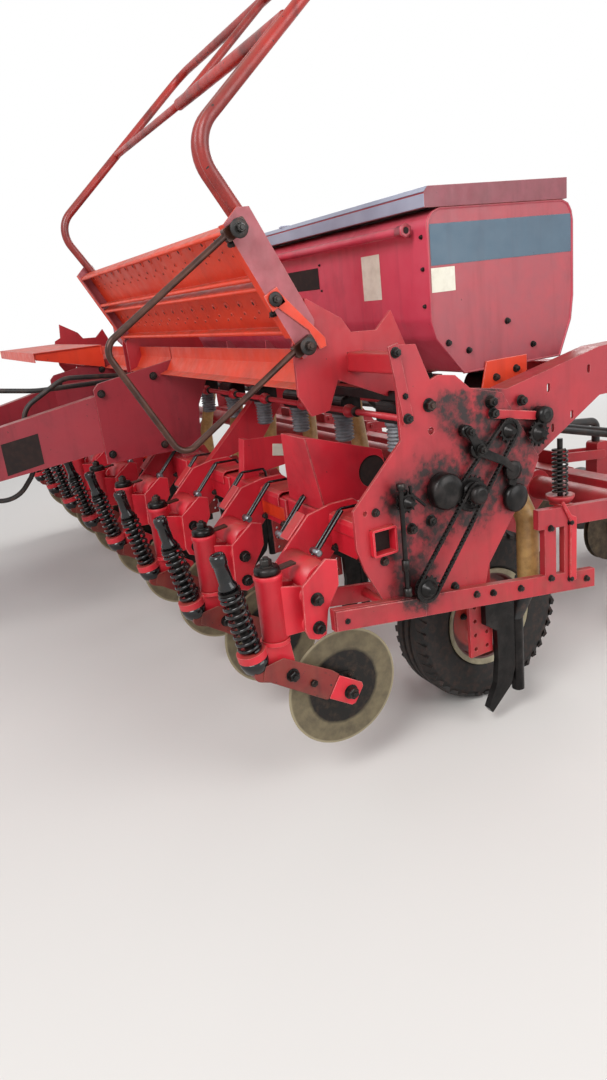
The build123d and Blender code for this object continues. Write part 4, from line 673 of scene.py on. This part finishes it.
# Strap rods hooked over the toolbar, each ending in a barrel nut in front of it
strap_runs, barrel_nuts = [], []
for x in ROW_X:
    for strap_x in (x - 0.075, x - 0.355):
        if strap_x < -2.45 or abs(abs(strap_x) - DRAWBAR_X) < 0.02:
            continue
        strap_runs.append(([(strap_x, 0.062, 0.93), (strap_x, 0.063, 1.05), (strap_x, 0.052, 1.066),
                            (strap_x, -0.052, 1.07), (strap_x, -0.066, 1.063), (strap_x, -0.19, 0.928)],
                            0.006))
        strap_runs.append(([(strap_x + 0.021, -0.06, 1.069), (strap_x + 0.021, -0.176, 0.944)], 0.006))
        barrel_nuts.append(((strap_x - 0.016, -0.178, 0.94), NEAR, [
            (0.01, 0), (0.014, 0.002), (0.014, 0.05), (0.01, 0.052)]))
rods("strap_rods", strap_runs, spring_steel, sides=3)
turned("strap_nuts", barrel_nuts, bright_steel, steps=14)

# Tread planks: raised holes in three rows, seen from the front on the folded deck
down = on_platform(0, 0, -1) - on_platform(0, 0, 0)
collars, openings = [], []
for row_out, shift, size in ((0.162, 0.0, 0.017), (0.122, 0.0, 0.009), (0.1, 0.065, 0.008),
                             (0.415, 0.0, 0.017), (0.368, 0.0, 0.009), (0.346, 0.065, 0.008)):
    for step in range(32):
        x = 0.12 + shift + 0.065 * 2 * step
        if x < 2.15:
            collars.append((tuple(on_platform(x, row_out, 0.0361)), tuple(down), size))
            openings.append((tuple(on_platform(x, row_out, 0.0342)), tuple(down), size * 0.42))
grown("tread_dimples", spots("dimple_spots", collars), dimple_tree, lit_red, "platform")
# The dark discs in the tread holes are painted shade.
grown("tread_openings", spots("opening_spots", openings), hole_tree, shade_and_dark_patches, "platform")

# Washers and bolts on the platform's near channel
washer = [(0.012, 0), (0.03, 0.0005), (0.031, 0.006), (0.029, 0.009), (0.012, 0.009)]
turned("channel_washers",
       [(on_platform(2.2015, 0.186, 0.0), NEAR, [(r * 0.8, a + 0.004) for r, a in washer])],
       soft_rubber, "platform")
square = [on_platform(CHANNEL_FACE, 0.186 + a, b)
          for a, b in ((-0.03, -0.03), (0.03, -0.03), (0.03, 0.03), (-0.03, 0.03))]
slabs("square_washer", [([tuple(p) for p in square], (0.0045, 0, 0))], lit_red, "platform")
turned("step_washers", [(on_platform(2.2445, out, 0.0), NEAR, washer) for out in (0.0, 0.44)], soft_rubber,
       "platform")
platform_bolts = [(tuple(on_platform(2.2525, out, 0)), NEAR, 0.026) for out in (0.0, 0.44)]
platform_bolts.append((tuple(on_platform(2.21, 0.186, 0)), NEAR, 0.024))
for out in (0.147, 0.408):
    platform_bolts.append((tuple(on_platform(2.186, out, -0.0205)), tuple(down), 0.02))
bolts("platform_bolts", platform_bolts, "platform")

# Ground drive on the near side: toothed wheels, their hubs, roller chains, tensioner and ratchet rod
WHEELS = [
    (*MAIN_WHEEL, 2.512, 0.062, 18), (*UPPER_WHEEL, 2.512, 0.04, 12), (0.716, 1.226, 2.512, 0.046, 14),
    (*LOWER_WHEEL, 2.54, 0.046, 14), (0.085, 1.103, 2.54, 0.032, 10), (*MAIN_WHEEL, 2.54, 0.04, 12),
]


def toothed_ring(y, z, radius, teeth):
    """Outline of a toothed wheel in Y and Z."""
    outline = []
    for tooth in range(teeth):
        for part, reach in ((0.0, -0.004), (0.28, -0.003), (0.42, 0.005), (0.58, 0.005), (0.72, -0.003)):
            angle = 2 * pi * (tooth + part) / teeth
            outline.append((y + (radius + reach) * cos(angle), z + (radius + reach) * sin(angle)))
    return outline


drive = slabs("drive_sprockets", [(across(x + 0.004, toothed_ring(y, z, radius, teeth)), (0.007, 0, 0))
                                  for y, z, x, radius, teeth in WHEELS], greasy_steel, edge=0.0006)
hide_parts("drive_train")
hubs = []
for y, z, x, radius, teeth in WHEELS:
    foot = 2.488 if teeth != 18 else 2.5
    hubs.append(((foot, y, z), NEAR, [
        (radius * 0.5, 0), (radius * 0.5, x - foot + 0.002), (radius * 0.72, x - foot + 0.003),
        (radius * 0.7, x - foot + 0.014), (radius * 0.45, x - foot + 0.018), (radius * 0.42, x - foot + 0.03),
        (radius * 0.3, x - foot + 0.032), (radius * 0.28, x - foot + 0.038)]))
hubs.append(((SIDE_X, *MAIN_WHEEL), NEAR, [(0.036, 0), (0.034, 0.07), (0.026, 0.076), (0.02, 0.078)]))
hubs.append(((SIDE_X, 0.262, 1.1), NEAR,
             [(0.062, 0), (0.066, 0.008), (0.066, 0.04), (0.058, 0.05), (0.03, 0.052)]))
hubs.append(((2.488, 0.742, 1.29), NEAR, [(0.03, 0), (0.033, 0.03), (0.03, 0.05), (0.014, 0.053)]))
turned("drive_hubs", hubs, greasy_steel)
link_tree, link_inputs = node_tree("roller_chain", ("Pitch", "Float"), ("Finish", "Material"))
loop = node(link_tree, "GeometryNodeMeshToCurve", {"Mesh": link_inputs["Geometry"]})
steps_along = node(link_tree, "GeometryNodeResampleCurve", {"Curve": loop.outputs["Curve"],
                                                            "Length": link_inputs["Pitch"]}, mode="LENGTH")
side_plate = node(link_tree, "GeometryNodeMeshCylinder", {"Vertices": 10, "Radius": 0.006, "Depth": 0.0018})
long_plate = shifted(link_tree, side_plate.outputs["Mesh"], Rotation=(0, pi / 2, 0), Scale=(1, 1.65, 1))
near_plate = shifted(link_tree, long_plate, Translation=(0.006, 0, 0))
far_plate = shifted(link_tree, long_plate, Translation=(-0.006, 0, 0))
roller = node(link_tree, "GeometryNodeMeshCylinder", {"Vertices": 8, "Radius": 0.0045, "Depth": 0.014})
laid_roller = shifted(link_tree, roller.outputs["Mesh"], Rotation=(0, pi / 2, 0), Translation=(0, 0.0075, 0))
tangent = node(link_tree, "GeometryNodeInputTangent").outputs["Tangent"]
heading = node(link_tree, "FunctionNodeAlignRotationToVector", {"Vector": tangent}, axis="Y", pivot_axis="X")
end_tree(link_tree, link_inputs, node(link_tree, "GeometryNodeInstanceOnPoints", {
    "Points": steps_along.outputs["Curve"],
    "Instance": joined(link_tree, [near_plate, far_plate, laid_roller]),
    "Rotation": heading.outputs["Rotation"]}))


def chain_path(first, second, x):
    """Closed path of a chain round two wheels, as working edges."""
    (y1, z1, r1), (y2, z2, r2) = first, second
    way, gap = atan2(z2 - z1, y2 - y1), hypot(y2 - y1, z2 - z1)
    lean = acos((r1 - r2) / gap)
    points = []
    for step in range(17):
        angle = way + lean + (2 * pi - 2 * lean) * step / 16
        points.append((x, y1 + r1 * cos(angle), z1 + r1 * sin(angle)))
    for step in range(13):
        angle = way - lean + 2 * lean * step / 12
        points.append((x, y2 + r2 * cos(angle), z2 + r2 * sin(angle)))
    mesh = bpy.data.meshes.new("chain_path")
    mesh.from_pydata(points, [(at, (at + 1) % len(points)) for at in range(len(points))], [])
    return mesh


grown("upper_chain", chain_path((*MAIN_WHEEL, 0.063), (*UPPER_WHEEL, 0.041), 2.5195), link_tree,
      greasy_steel, Pitch=0.0155)
grown("lower_chain", chain_path((*LOWER_WHEEL, 0.047), (*MAIN_WHEEL, 0.041), 2.5475), link_tree,
      greasy_steel, Pitch=0.0155)

# Hopper: folded rim round the near end, rail socket, bare patches, rivets and the lid's turned edge
END_X = 2.266
RIM = [(0.445, 1.975), (0.45, 2.01), (0.468, 2.037), (0.5, 2.05), (1.1, 2.05), (1.132, 2.037), (1.15, 2.01),
       (1.158, 1.975), (1.16, 1.69), (1.148, 1.597), (1.087, 1.459), (0.583, 1.459), (0.46, 1.602),
       (0.441, 1.665)]
for end, name in ((1, "near"), (-1, "far")):
    rods(f"hopper_rim_{name}", [([(end * (END_X + 0.0005), y, z) for y, z in RIM], 0.0045)], hopper_red,
         sides=2, cyclic=True)
socket = [(0.013, 0.0), (0.02, 0.001), (0.0205, 0.04), (0.026, 0.041), (0.026, 0.052), (0.0125, 0.052),
          (0.0125, 0.03), (0.001, 0.029)]
turned("handrail_sockets", [((side * 2.148, 0.4, 1.99), (side, 0, 0), socket) for side in (1, -1)],
       hopper_red, steps=6)
# The dark lining of the handrail bore is painted shade.
turned("handrail_bores", [((2.1775, 0.4, 1.99), NEAR, [(0.0122, 0.0), (0.0122, 0.0225)])], shade_and_dark_patches,
       steps=18)
slabs("end_stripe", [(across(END_FACE, [(0.452, 1.858), (1.152, 1.858), (1.152, 2.0), (0.452, 2.0)]),
                      (0.0006, 0, 0))], slate_stripe, edge=0.0002)
slabs("bare_plates", [
    (across(END_FACE, [(0.451, 1.765), (0.56, 1.765), (0.56, 1.85), (0.451, 1.85)]), (0.0006, 0, 0)),
    (sheet(FRONT_FACE, 1.826, 1.957, 1.757, 1.929), (0, -0.0006, 0)),
], bare_white, edge=0.0002)
slabs("dark_plate", [(sheet(FRONT_FACE, 1.14, 1.465, 1.826, 1.917), (0, -0.002, 0))], shade_and_dark_patches,
      edge=0.0006)
hopper_bolts = [((END_X, y, z), NEAR, 0.018) for y, z in (
    (0.515, 1.579), (0.611, 1.54), (0.808, 1.627), (0.941, 1.522))]
hopper_bolts += [((x, 0.44, z), FRONT, 0.012) for x in (2.235,) for z in (1.72, 1.85, 1.96)]
hopper_bolts += [((x, 0.4378, z), FRONT, 0.008) for x in (1.12, 1.485) for z in (1.818, 1.927)]
bolts("hopper_bolts", hopper_bolts)
slabs("lid_edge", [(sheet(0.4315, -2.274, 2.274, 2.056, 2.1), (0, -0.0025, 0)),
                   ([(-2.274, 0.4305, 2.105), (2.274, 0.4305, 2.105), (2.274, 0.447, 2.1225),
                     (-2.274, 0.447, 2.1225)], (0, -0.001, 0.002))], bare_sheet, "lid", edge=0.0006)
seams = [([(x, 0.436, 2.1245), (x, 0.45, 2.13), (x, 1.12, 2.136)], 0.004) for x in (-1.14, 0.0, 1.14)]
rods("lid_seams", seams, bare_sheet, "lid", sides=2)

# Near side plate: bolts through it, the lever bar, the tensioner and the ratchet rod
plate_bolts = [((SIDE_X, y, z), NEAR, size) for y, z, size in (
    (0.23, 1.408, 0.034), (0.13, 1.454, 0.02), (0.209, 1.0, 0.03), (0.124, 0.989, 0.03),
    (-0.02, 1.082, 0.022), (0.502, 1.376, 0.034), (0.649, 1.357, 0.03), (0.0, 0.9, 0.024),
    (0.3, 0.72, 0.024))]
plate_bolts += [((2.508, y, z), NEAR, 0.026) for y, z in ((0.102, 1.6), (0.134, 1.378))]
plate_bolts += [((2.528, y, z), NEAR, 0.02) for y, z in (
    (-0.19, 0.742), (0.38, 0.672), (0.46, 0.655), (0.6, 0.633), (0.762, 0.84), (0.762, 0.63), (0.868, 0.84),
    (0.868, 0.6), (0.96, 0.574))]
plate_bolts += [((-x, y, z), (-1, 0, 0), size) for (x, y, z), aim, size in plate_bolts]
plate_bolts += [((2.51, 0.504, 1.335), NEAR, 0.03), ((2.51, 0.735, 1.289), NEAR, 0.036),
                ((2.538, 0.421, 1.221), NEAR, 0.028), ((2.538, 0.373, 1.294), NEAR, 0.024)]
bolts("side_bolts", plate_bolts)
slabs("lever_bar",
      [(across(SIDE_X, [(0.488, 1.318), (0.74, 1.27), (0.752, 1.3), (0.5, 1.35)]), (0.01, 0, 0))], frame_red)
slabs("tensioner_arm", [
    (across(2.5262, [(0.356, 1.302), (0.384, 1.312), (0.44, 1.222), (0.545, 1.166), (0.592, 1.116),
                     (0.572, 1.104), (0.526, 1.143), (0.408, 1.2)]), (0.009, 0, 0)),
    (across(2.512, [(0.575, 1.135), (0.612, 1.1), (0.592, 1.045), (0.56, 1.06)]), (0.012, 0, 0)),
], greasy_steel)
turned("tensioner_rollers", [
    ((SIDE_X, 0.421, 1.221), NEAR,
     [(0.026, 0), (0.026, 0.01), (0.034, 0.012), (0.034, 0.026), (0.02, 0.027)]),
    ((SIDE_X, 0.373, 1.294), NEAR, [(0.022, 0), (0.022, 0.026), (0.012, 0.027)]),
    ((SIDE_X, 0.582, 1.11), NEAR, [(0.03, 0), (0.03, 0.012), (0.036, 0.014), (0.036, 0.03), (0.018, 0.032)]),
    ((SIDE_X, 0.6, 1.0), NEAR, [(0.052, 0), (0.055, 0.006), (0.055, 0.02), (0.045, 0.03), (0.012, 0.033)]),
], greasy_steel)
ratchet_teeth = [(0.085 + (0.034 if part else 0.043) * cos(pi * (tooth + part * 0.8) / 7),
                  1.103 + (0.034 if part else 0.043) * sin(pi * (tooth + part * 0.8) / 7))
                 for tooth in range(14) for part in (0, 1)]
slabs("ratchet_wheel", [(across(2.5265, ratchet_teeth), (0.008, 0, 0)),
                        (across(2.537, [(0.045, 1.132), (0.075, 1.142), (0.098, 1.11), (0.088, 1.082),
                                        (0.06, 1.092)]), (0.0025, 0, 0))],
      greasy_steel, edge=0.0008)
rods("ratchet_rod", [([(2.545, 0.06, 1.165), (2.545, 0.058, 0.77)], 0.009),
                     ([(2.545, 0.098, 1.16), (2.545, 0.1, 1.13), (2.54, 0.16, 1.075)], 0.006)],
     greasy_steel, sides=3)
turned("ratchet_collars", [
    ((2.545, 0.06, 1.15), UP, [(0.009, 0), (0.015, 0.002), (0.015, 0.024), (0.009, 0.026)]),
    ((2.545, 0.058, 0.86), UP, [(0.009, 0), (0.014, 0.002), (0.014, 0.04), (0.009, 0.042)]),
    ((2.545, 0.058, 0.765), UP, [(0.009, 0), (0.016, 0.002), (0.016, 0.03), (0.009, 0.032)]),
], bolt_steel, steps=14)

# Drawbar: bolts of the junction plates and the bare dark patch on the near beam
bar_bolts = []
for end in (1, -1):
    for y, z in ((-0.43, 1.44), (-0.43, 1.12), (-0.14, 1.49), (-0.14, 1.12), (0.06, 1.57), (0.15, 1.52)):
        bar_bolts.append(((end * 0.608, y, z), (end, 0, 0), 0.03))
    for y, z in ((-0.43, 1.44), (-0.43, 1.12), (-0.14, 1.49), (-0.14, 1.12)):
        bar_bolts.append(((end * 0.592 - end * 0.0755, y, z), (-end, 0, 0), 0.03))
bolts("drawbar_bolts", bar_bolts)


def on_beam(y, z):
    """A place on the near beam's outer face."""
    share = (y + 0.465) / (-2.32 + 0.465)
    return Vector((0.592 + share * (0.1575 - 0.592), y, z))


beam_out = Vector((0.974, -0.228, 0)) * 0.0006
slabs("beam_patch", [([tuple(on_beam(y, z) + beam_out) for y, z in (
    (-0.77, 1.125), (-0.955, 1.09), (-0.955, 1.255), (-0.77, 1.285))], tuple(beam_out))], shade_and_dark_patches,
    edge=0.0002)

# Raised shoulder lugs over the tyres' plain carcass, and the wheels' nuts
lug_tree, lug_inputs = node_tree("tyre_lugs", ("Finish", "Material"))
block = node(lug_tree, "GeometryNodeMeshCube", {"Size": (0.052, 0.026, 0.014)})
stood_on_points(lug_tree, lug_inputs, block.outputs["Mesh"])
LUGS, LUG_REACH, SHOULDER = 44, 0.37, 0.062 * 1.28
wheel_x, wheel_y, wheel_z = WHEEL_AT
for side_name, side in (("near", 1), ("far", -1)):
    lugs = []
    for step in range(LUGS):
        for way, late in ((-1, 0), (1, 0.5)):
            angle = 2 * pi * (step + late) / LUGS
            lugs.append(((side * wheel_x + way * SHOULDER, wheel_y + LUG_REACH * cos(angle),
                          wheel_z + LUG_REACH * sin(angle)), (way * 0.35, cos(angle), sin(angle)), 1.0))
    grown(f"tyre_lugs_{side_name}", spots("lug_spots", lugs), lug_tree, tyre_rubber, f"wheel_{side_name}")
    bolts(f"wheel_nuts_{side_name}",
          bolt_ring(6, side * wheel_x + side * 0.0125, (wheel_y, wheel_z), 0.085, side, 0.022),
          f"wheel_{side_name}", "tyre_rubber")

# Front seed feed under the hopper: hanger rail, dark housings, ribbed drop sleeves and the red drive shaft
FEED_Y, FEED_Z = 0.3, 1.344
FEED_X = [sign * (0.2 + 0.4 * place) for place in range(6) for sign in (1, -1)]
# The hanger rail is a support, and its black bar also lies where the front shield's shadow falls, so it is
# partly painted shade.
feed_blocks = [(across(-2.487, [(FEED_Y - 0.02, 1.392), (FEED_Y + 0.03, 1.392), (FEED_Y + 0.03, 1.402),
                                (FEED_Y - 0.01, 1.402), (FEED_Y - 0.01, 1.432), (FEED_Y - 0.02, 1.432)]),
                (4.974, 0, 0))]
for x in FEED_X:
    feed_blocks.append((across(x - 0.075, [
        (FEED_Y - 0.045, 1.315), (FEED_Y + 0.05, 1.3), (FEED_Y + 0.05, 1.392), (FEED_Y - 0.03, 1.392),
        (FEED_Y - 0.045, 1.375)]), (0.15, 0, 0)))
slabs("feed_housings", feed_blocks, greasy_steel, edge=0.004)
ribs = [(0.03, 0.0)]
for fold in range(7):
    foot = 0.004 + fold * 0.0145
    ribs += [(0.034, foot), (0.042, foot + 0.004), (0.042, foot + 0.008), (0.034, foot + 0.012)]
ribs += [(0.034, 0.106), (0.046, 0.107), (0.046, 0.12), (0.02, 0.121)]
turned("drop_sleeves", [((x, FEED_Y, 1.194), UP, ribs) for x in FEED_X], sleeve_grey, steps=20)
shaft_parts = [((-2.487, FEED_Y - 0.058, FEED_Z), NEAR, [(0.0125, 0.0), (0.0125, 4.974)])]
for x in FEED_X:
    shaft_parts.append(((x + 0.14, FEED_Y - 0.058, FEED_Z), NEAR, [
        (0.014, 0), (0.026, 0.002), (0.028, 0.016), (0.022, 0.026), (0.022, 0.05), (0.014, 0.052)]))
turned("feed_shaft", shaft_parts, coulter_red, steps=16)
turned("shaft_collars", [((x + 0.198, FEED_Y - 0.058, FEED_Z), NEAR, [
    (0.014, 0), (0.02, 0.001), (0.02, 0.02), (0.014, 0.021)]) for x in FEED_X], bolt_steel, steps=16)

# Bare label plate on the sheet box, and the black block beside it
slabs("label_plate", [(across(1.4003, [(0.13, 1.108), (0.197, 1.095), (0.204, 1.151), (0.138, 1.163)]),
                       (0.004, 0, 0))], bare_white, edge=0.001)
slabs("label_block", [(across(1.4003, [(0.2, 1.112), (0.249, 1.102), (0.249, 1.158), (0.206, 1.167)]),
                       (0.022, 0, 0))], greasy_steel, edge=0.003)

# Orange plate that carries the hopper's near end, and its twin at the far end
mount_outline = [(0.66, 1.375), (0.69, 1.488), (0.9, 1.488), (0.9, 1.425), (0.79, 1.34)]
slabs("end_mounts", both_sides(2.2668, mount_outline, 0.008), lit_red)
bolts("mount_bolts", [((2.2748, y, z), NEAR, 0.022) for y, z in ((0.735, 1.42), (0.84, 1.44))])

# Second bar over the front half of each side rail, and the strap bent over the rear half
RAIL_FRONT, RAIL_REAR, RAIL_HALF = (-0.235, 0.752), (1.01, 0.565), 0.037
RAIL_DROP = (RAIL_REAR[1] - RAIL_FRONT[1]) / (RAIL_REAR[0] - RAIL_FRONT[0])


def rail_mid(y):
    """Height of a side rail's middle line."""
    return RAIL_FRONT[1] + RAIL_DROP * (y - RAIL_FRONT[0])


def rail_outline(front, rear):
    """A bar as deep as the side rails and along them, from front to rear."""
    corners = ((front, -RAIL_HALF), (rear, -RAIL_HALF), (rear, RAIL_HALF), (front, RAIL_HALF))
    return [(y, rail_mid(y) + half) for y, half in corners]


slabs("rail_bar", both_sides(RAIL_FACE, rail_outline(-0.232, 0.14), 0.009), plate_red)
strap = [(0.815, 0.93), (0.825, 0.938), (0.868, 0.872), (0.895, 0.86), (0.895, 0.59), (0.86, 0.59),
         (0.86, 0.85)]
slabs("rail_strap", both_sides(RAIL_FACE, strap, 0.012), coulter_red, edge=0.003)

# Spring round its rod, in its cup on each rear rail
LIFT_X, LIFT_Y, LIFT_COIL = 2.47, 0.875, 0.028
lift_cup = [(0.02, -0.05), (0.03, -0.03), (0.052, -0.008), (0.056, 0.0), (0.056, 0.008), (0.046, 0.008),
            (0.03, 0.002)]
for side, name in ((1, "near"), (-1, "far")):
    x, inner, outer = side * LIFT_X, side * 2.445, side * 2.512
    turned(f"lift_cup_{name}", [((x, LIFT_Y, 0.935), UP, lift_cup)], frame_red)
    slabs(f"lift_bracket_{name}", [([(inner, 0.84, 0.915), (outer, 0.84, 0.915), (outer, 0.91, 0.905),
                                     (inner, 0.91, 0.905)], (0, 0, -0.012))], frame_red)
    helix = [(x + LIFT_COIL * cos(step * pi / 8), LIFT_Y + LIFT_COIL * sin(step * pi / 8),
              0.946 + 0.00105 * step) for step in range(177)]
    rods(f"lift_spring_{name}", [(helix, 0.0045)], bolt_steel, sides=2)
    rods(f"lift_rod_{name}", [([(x, LIFT_Y, 0.93), (x, LIFT_Y, 1.17)], 0.011)], greasy_steel, sides=3)

# Clean ends of the coulter arms, the dirty cheeks beside them and the orange flanges of three clamps
arm_along = Vector((0, COULTER_HUB[0] - ARM_PIVOT[0], COULTER_HUB[1] - ARM_PIVOT[1])).normalized()
arm_cross = Vector((0, -arm_along.z, arm_along.y))


def on_arms(outline, thick):
    """An outline on each arm's near face, given along the arm and across it from the disc's hub."""
    hubs_at = [Vector((x + 0.0387, *COULTER_HUB)) for x in ROW_X]
    return [([tuple(hub + arm_along * a + arm_cross * c) for a, c in outline], (thick, 0, 0))
            for hub in hubs_at]


slabs("arm_ends", on_arms([(-0.078, -0.046), (0.03, -0.046), (0.042, -0.034), (0.042, 0.034), (0.03, 0.046),
                           (-0.078, 0.046)], 0.005), coulter_red, edge=0.001)
slabs("arm_cheeks", on_arms([(-0.37, -0.046), (-0.09, -0.054), (-0.08, -0.05), (-0.08, 0.05), (-0.12, 0.056),
                             (-0.33, 0.048), (-0.385, 0.0)], 0.003), arm_red, edge=0.001)
# The orange sheets on three clamps' flanges are painted light: the lit tone of the red paint on those front
# faces.
slabs("orange_flanges", [(sheet(-0.063, x - 0.145, x + 0.07, 0.925, 0.984), (0, -0.0012, 0))
                         for x in ROW_X[1:8:3]], lit_red, edge=0.0005)

# Rolled lips along the planks' free edges, and the stop lug on the near channel
PLANK_STARTS, PLANK_WIDE, LIP = (0.052, 0.262), 0.19, 0.009
PLANK_FAR, PLANK_NEAR = 0.028, 2.19
lips = [([tuple(on_platform(x, out, -LIP)) for x in (PLANK_FAR, PLANK_NEAR)], LIP)
        for start in PLANK_STARTS for out in (start + LIP, start + PLANK_WIDE - LIP)]
rods("plank_lips", lips, lit_red, "platform", sides=3)
lug = [(0.165, -0.01), (0.19, 0.03), (-0.028, 0.092), (-0.055, 0.08), (-0.05, 0.052), (0.03, 0.05)]
slabs("stop_lug", [([tuple(on_platform(CHANNEL_FACE, out, up)) for out, up in lug], (0.0045, 0, 0))],
      lit_red, "platform")

# Inner rail beside each ground wheel, carried from the outer rail by two spacers
slabs("inner_rails", both_sides(2.292, rail_outline(-0.215, 0.42), 0.012), coulter_red)
turned("rail_spacers", [((side * 2.303, y, rail_mid(y)), (side, 0, 0), [(0.018, 0), (0.018, 0.2)])
                        for side in (1, -1) for y in (0.03, 0.38)], coulter_red, steps=16)

# Front sheet of the large box on the toolbar, a dark dish behind its hole as painted shade, and the toolbar's
# end plugs
box_front = [(2.19, -0.0975, 1.318), (2.0, -0.0975, 1.318), (1.9, -0.0435, 1.03), (2.19, -0.0435, 1.03)]
slabs("box_front", [([(side * x, y, z) for x, y, z in box_front], (0, -0.003, 0)) for side in (1, -1)],
      coulter_red, edge=0.001)
shade_dish = [(0.074, 0), (0.074, 0.003), (0.058, 0.02), (0.02, 0.022)]
turned("box_hole_shade", [((side * 2.1855, 0.18, 1.14), (-side, 0, 0), shade_dish) for side in (1, -1)],
       shade_and_dark_patches, slot="black_rubber")
plug = [(-0.043, 0.933), (0.043, 0.933), (0.043, 1.019), (-0.043, 1.019)]
slabs("toolbar_plugs", both_sides(2.4765, plug, 0.004), shade_and_dark_patches, slot="black_rubber")

# Floor, white surroundings and soft lamps
floor_mesh = bpy.data.meshes.new("floor")
reach = 60.0
floor_mesh.from_pydata([(-reach, -reach, 0), (reach, -reach, 0), (reach, reach, 0), (-reach, reach, 0)], [],
                       [(0, 1, 2, 3)])
floor = bpy.data.objects.new("floor", floor_mesh)
scene.collection.objects.link(floor)
floor_paint, floor_tree, floor_surface = new_material("pale_floor")
floor_surface.inputs["Base Color"].default_value = linear("#dedbd6")
floor_surface.inputs["Roughness"].default_value = 0.9
spread = vector_maths(floor_tree, "LENGTH", object_space(floor_tree), result="Value")
far = node(floor_tree, "ShaderNodeMapRange", {"Value": spread, "From Min": 5.0, "From Max": 11.0},
           interpolation_type="SMOOTHSTEP").outputs["Result"]
glow = node(floor_tree, "ShaderNodeEmission", {"Color": (1, 1, 1, 1), "Strength": 1.0})
faded_floor = node(floor_tree, "ShaderNodeMixShader", {0: far, 1: floor_surface.outputs["BSDF"],
                                                       2: glow.outputs["Emission"]})
floor_end = [n for n in floor_tree.nodes if n.bl_idname == "ShaderNodeOutputMaterial"][0]
floor_tree.links.new(faded_floor.outputs["Shader"], floor_end.inputs["Surface"])
floor_mesh.materials.append(floor_paint)

world = bpy.data.worlds.new("studio")
world.use_nodes = True
scene.world = world
air = world.node_tree
air.nodes.clear()
path = node(air, "ShaderNodeLightPath")
seen = times(air, path.outputs["Is Camera Ray"], path.outputs["Is Transmission Ray"], "ADD")
seen = times(air, seen, path.outputs["Is Glossy Ray"], "ADD")
soft = node(air, "ShaderNodeBackground", {"Color": linear("#e8eaf0"), "Strength": 0.55})
white = node(air, "ShaderNodeBackground", {"Color": (1, 1, 1, 1), "Strength": 1.0})
shown = node(air, "ShaderNodeMixShader", {0: seen, 1: soft.outputs[0], 2: white.outputs[0]})
node(air, "ShaderNodeOutputWorld", {"Surface": shown.outputs[0]})

LAMPS = [
    ("key", (5.5, -5.5, 6.5), (0.8, -0.2, 1.0), 4.0, 520),
    ("fill", (7.0, 2.5, 3.5), (1.5, 0.4, 0.9), 4.0, 180),
    ("back", (-4.0, 5.0, 6.0), (0.0, 0.8, 1.2), 4.0, 260),
]
for name, place, target, size, power in LAMPS:
    light = bpy.data.lights.new(name, "AREA")
    light.size = size
    light.energy = power
    lamp = bpy.data.objects.new(name, light)
    lamp.location = place
    lamp.rotation_euler = (Vector(target) - Vector(place)).to_track_quat("-Z", "Y").to_euler()
    scene.collection.objects.link(lamp)
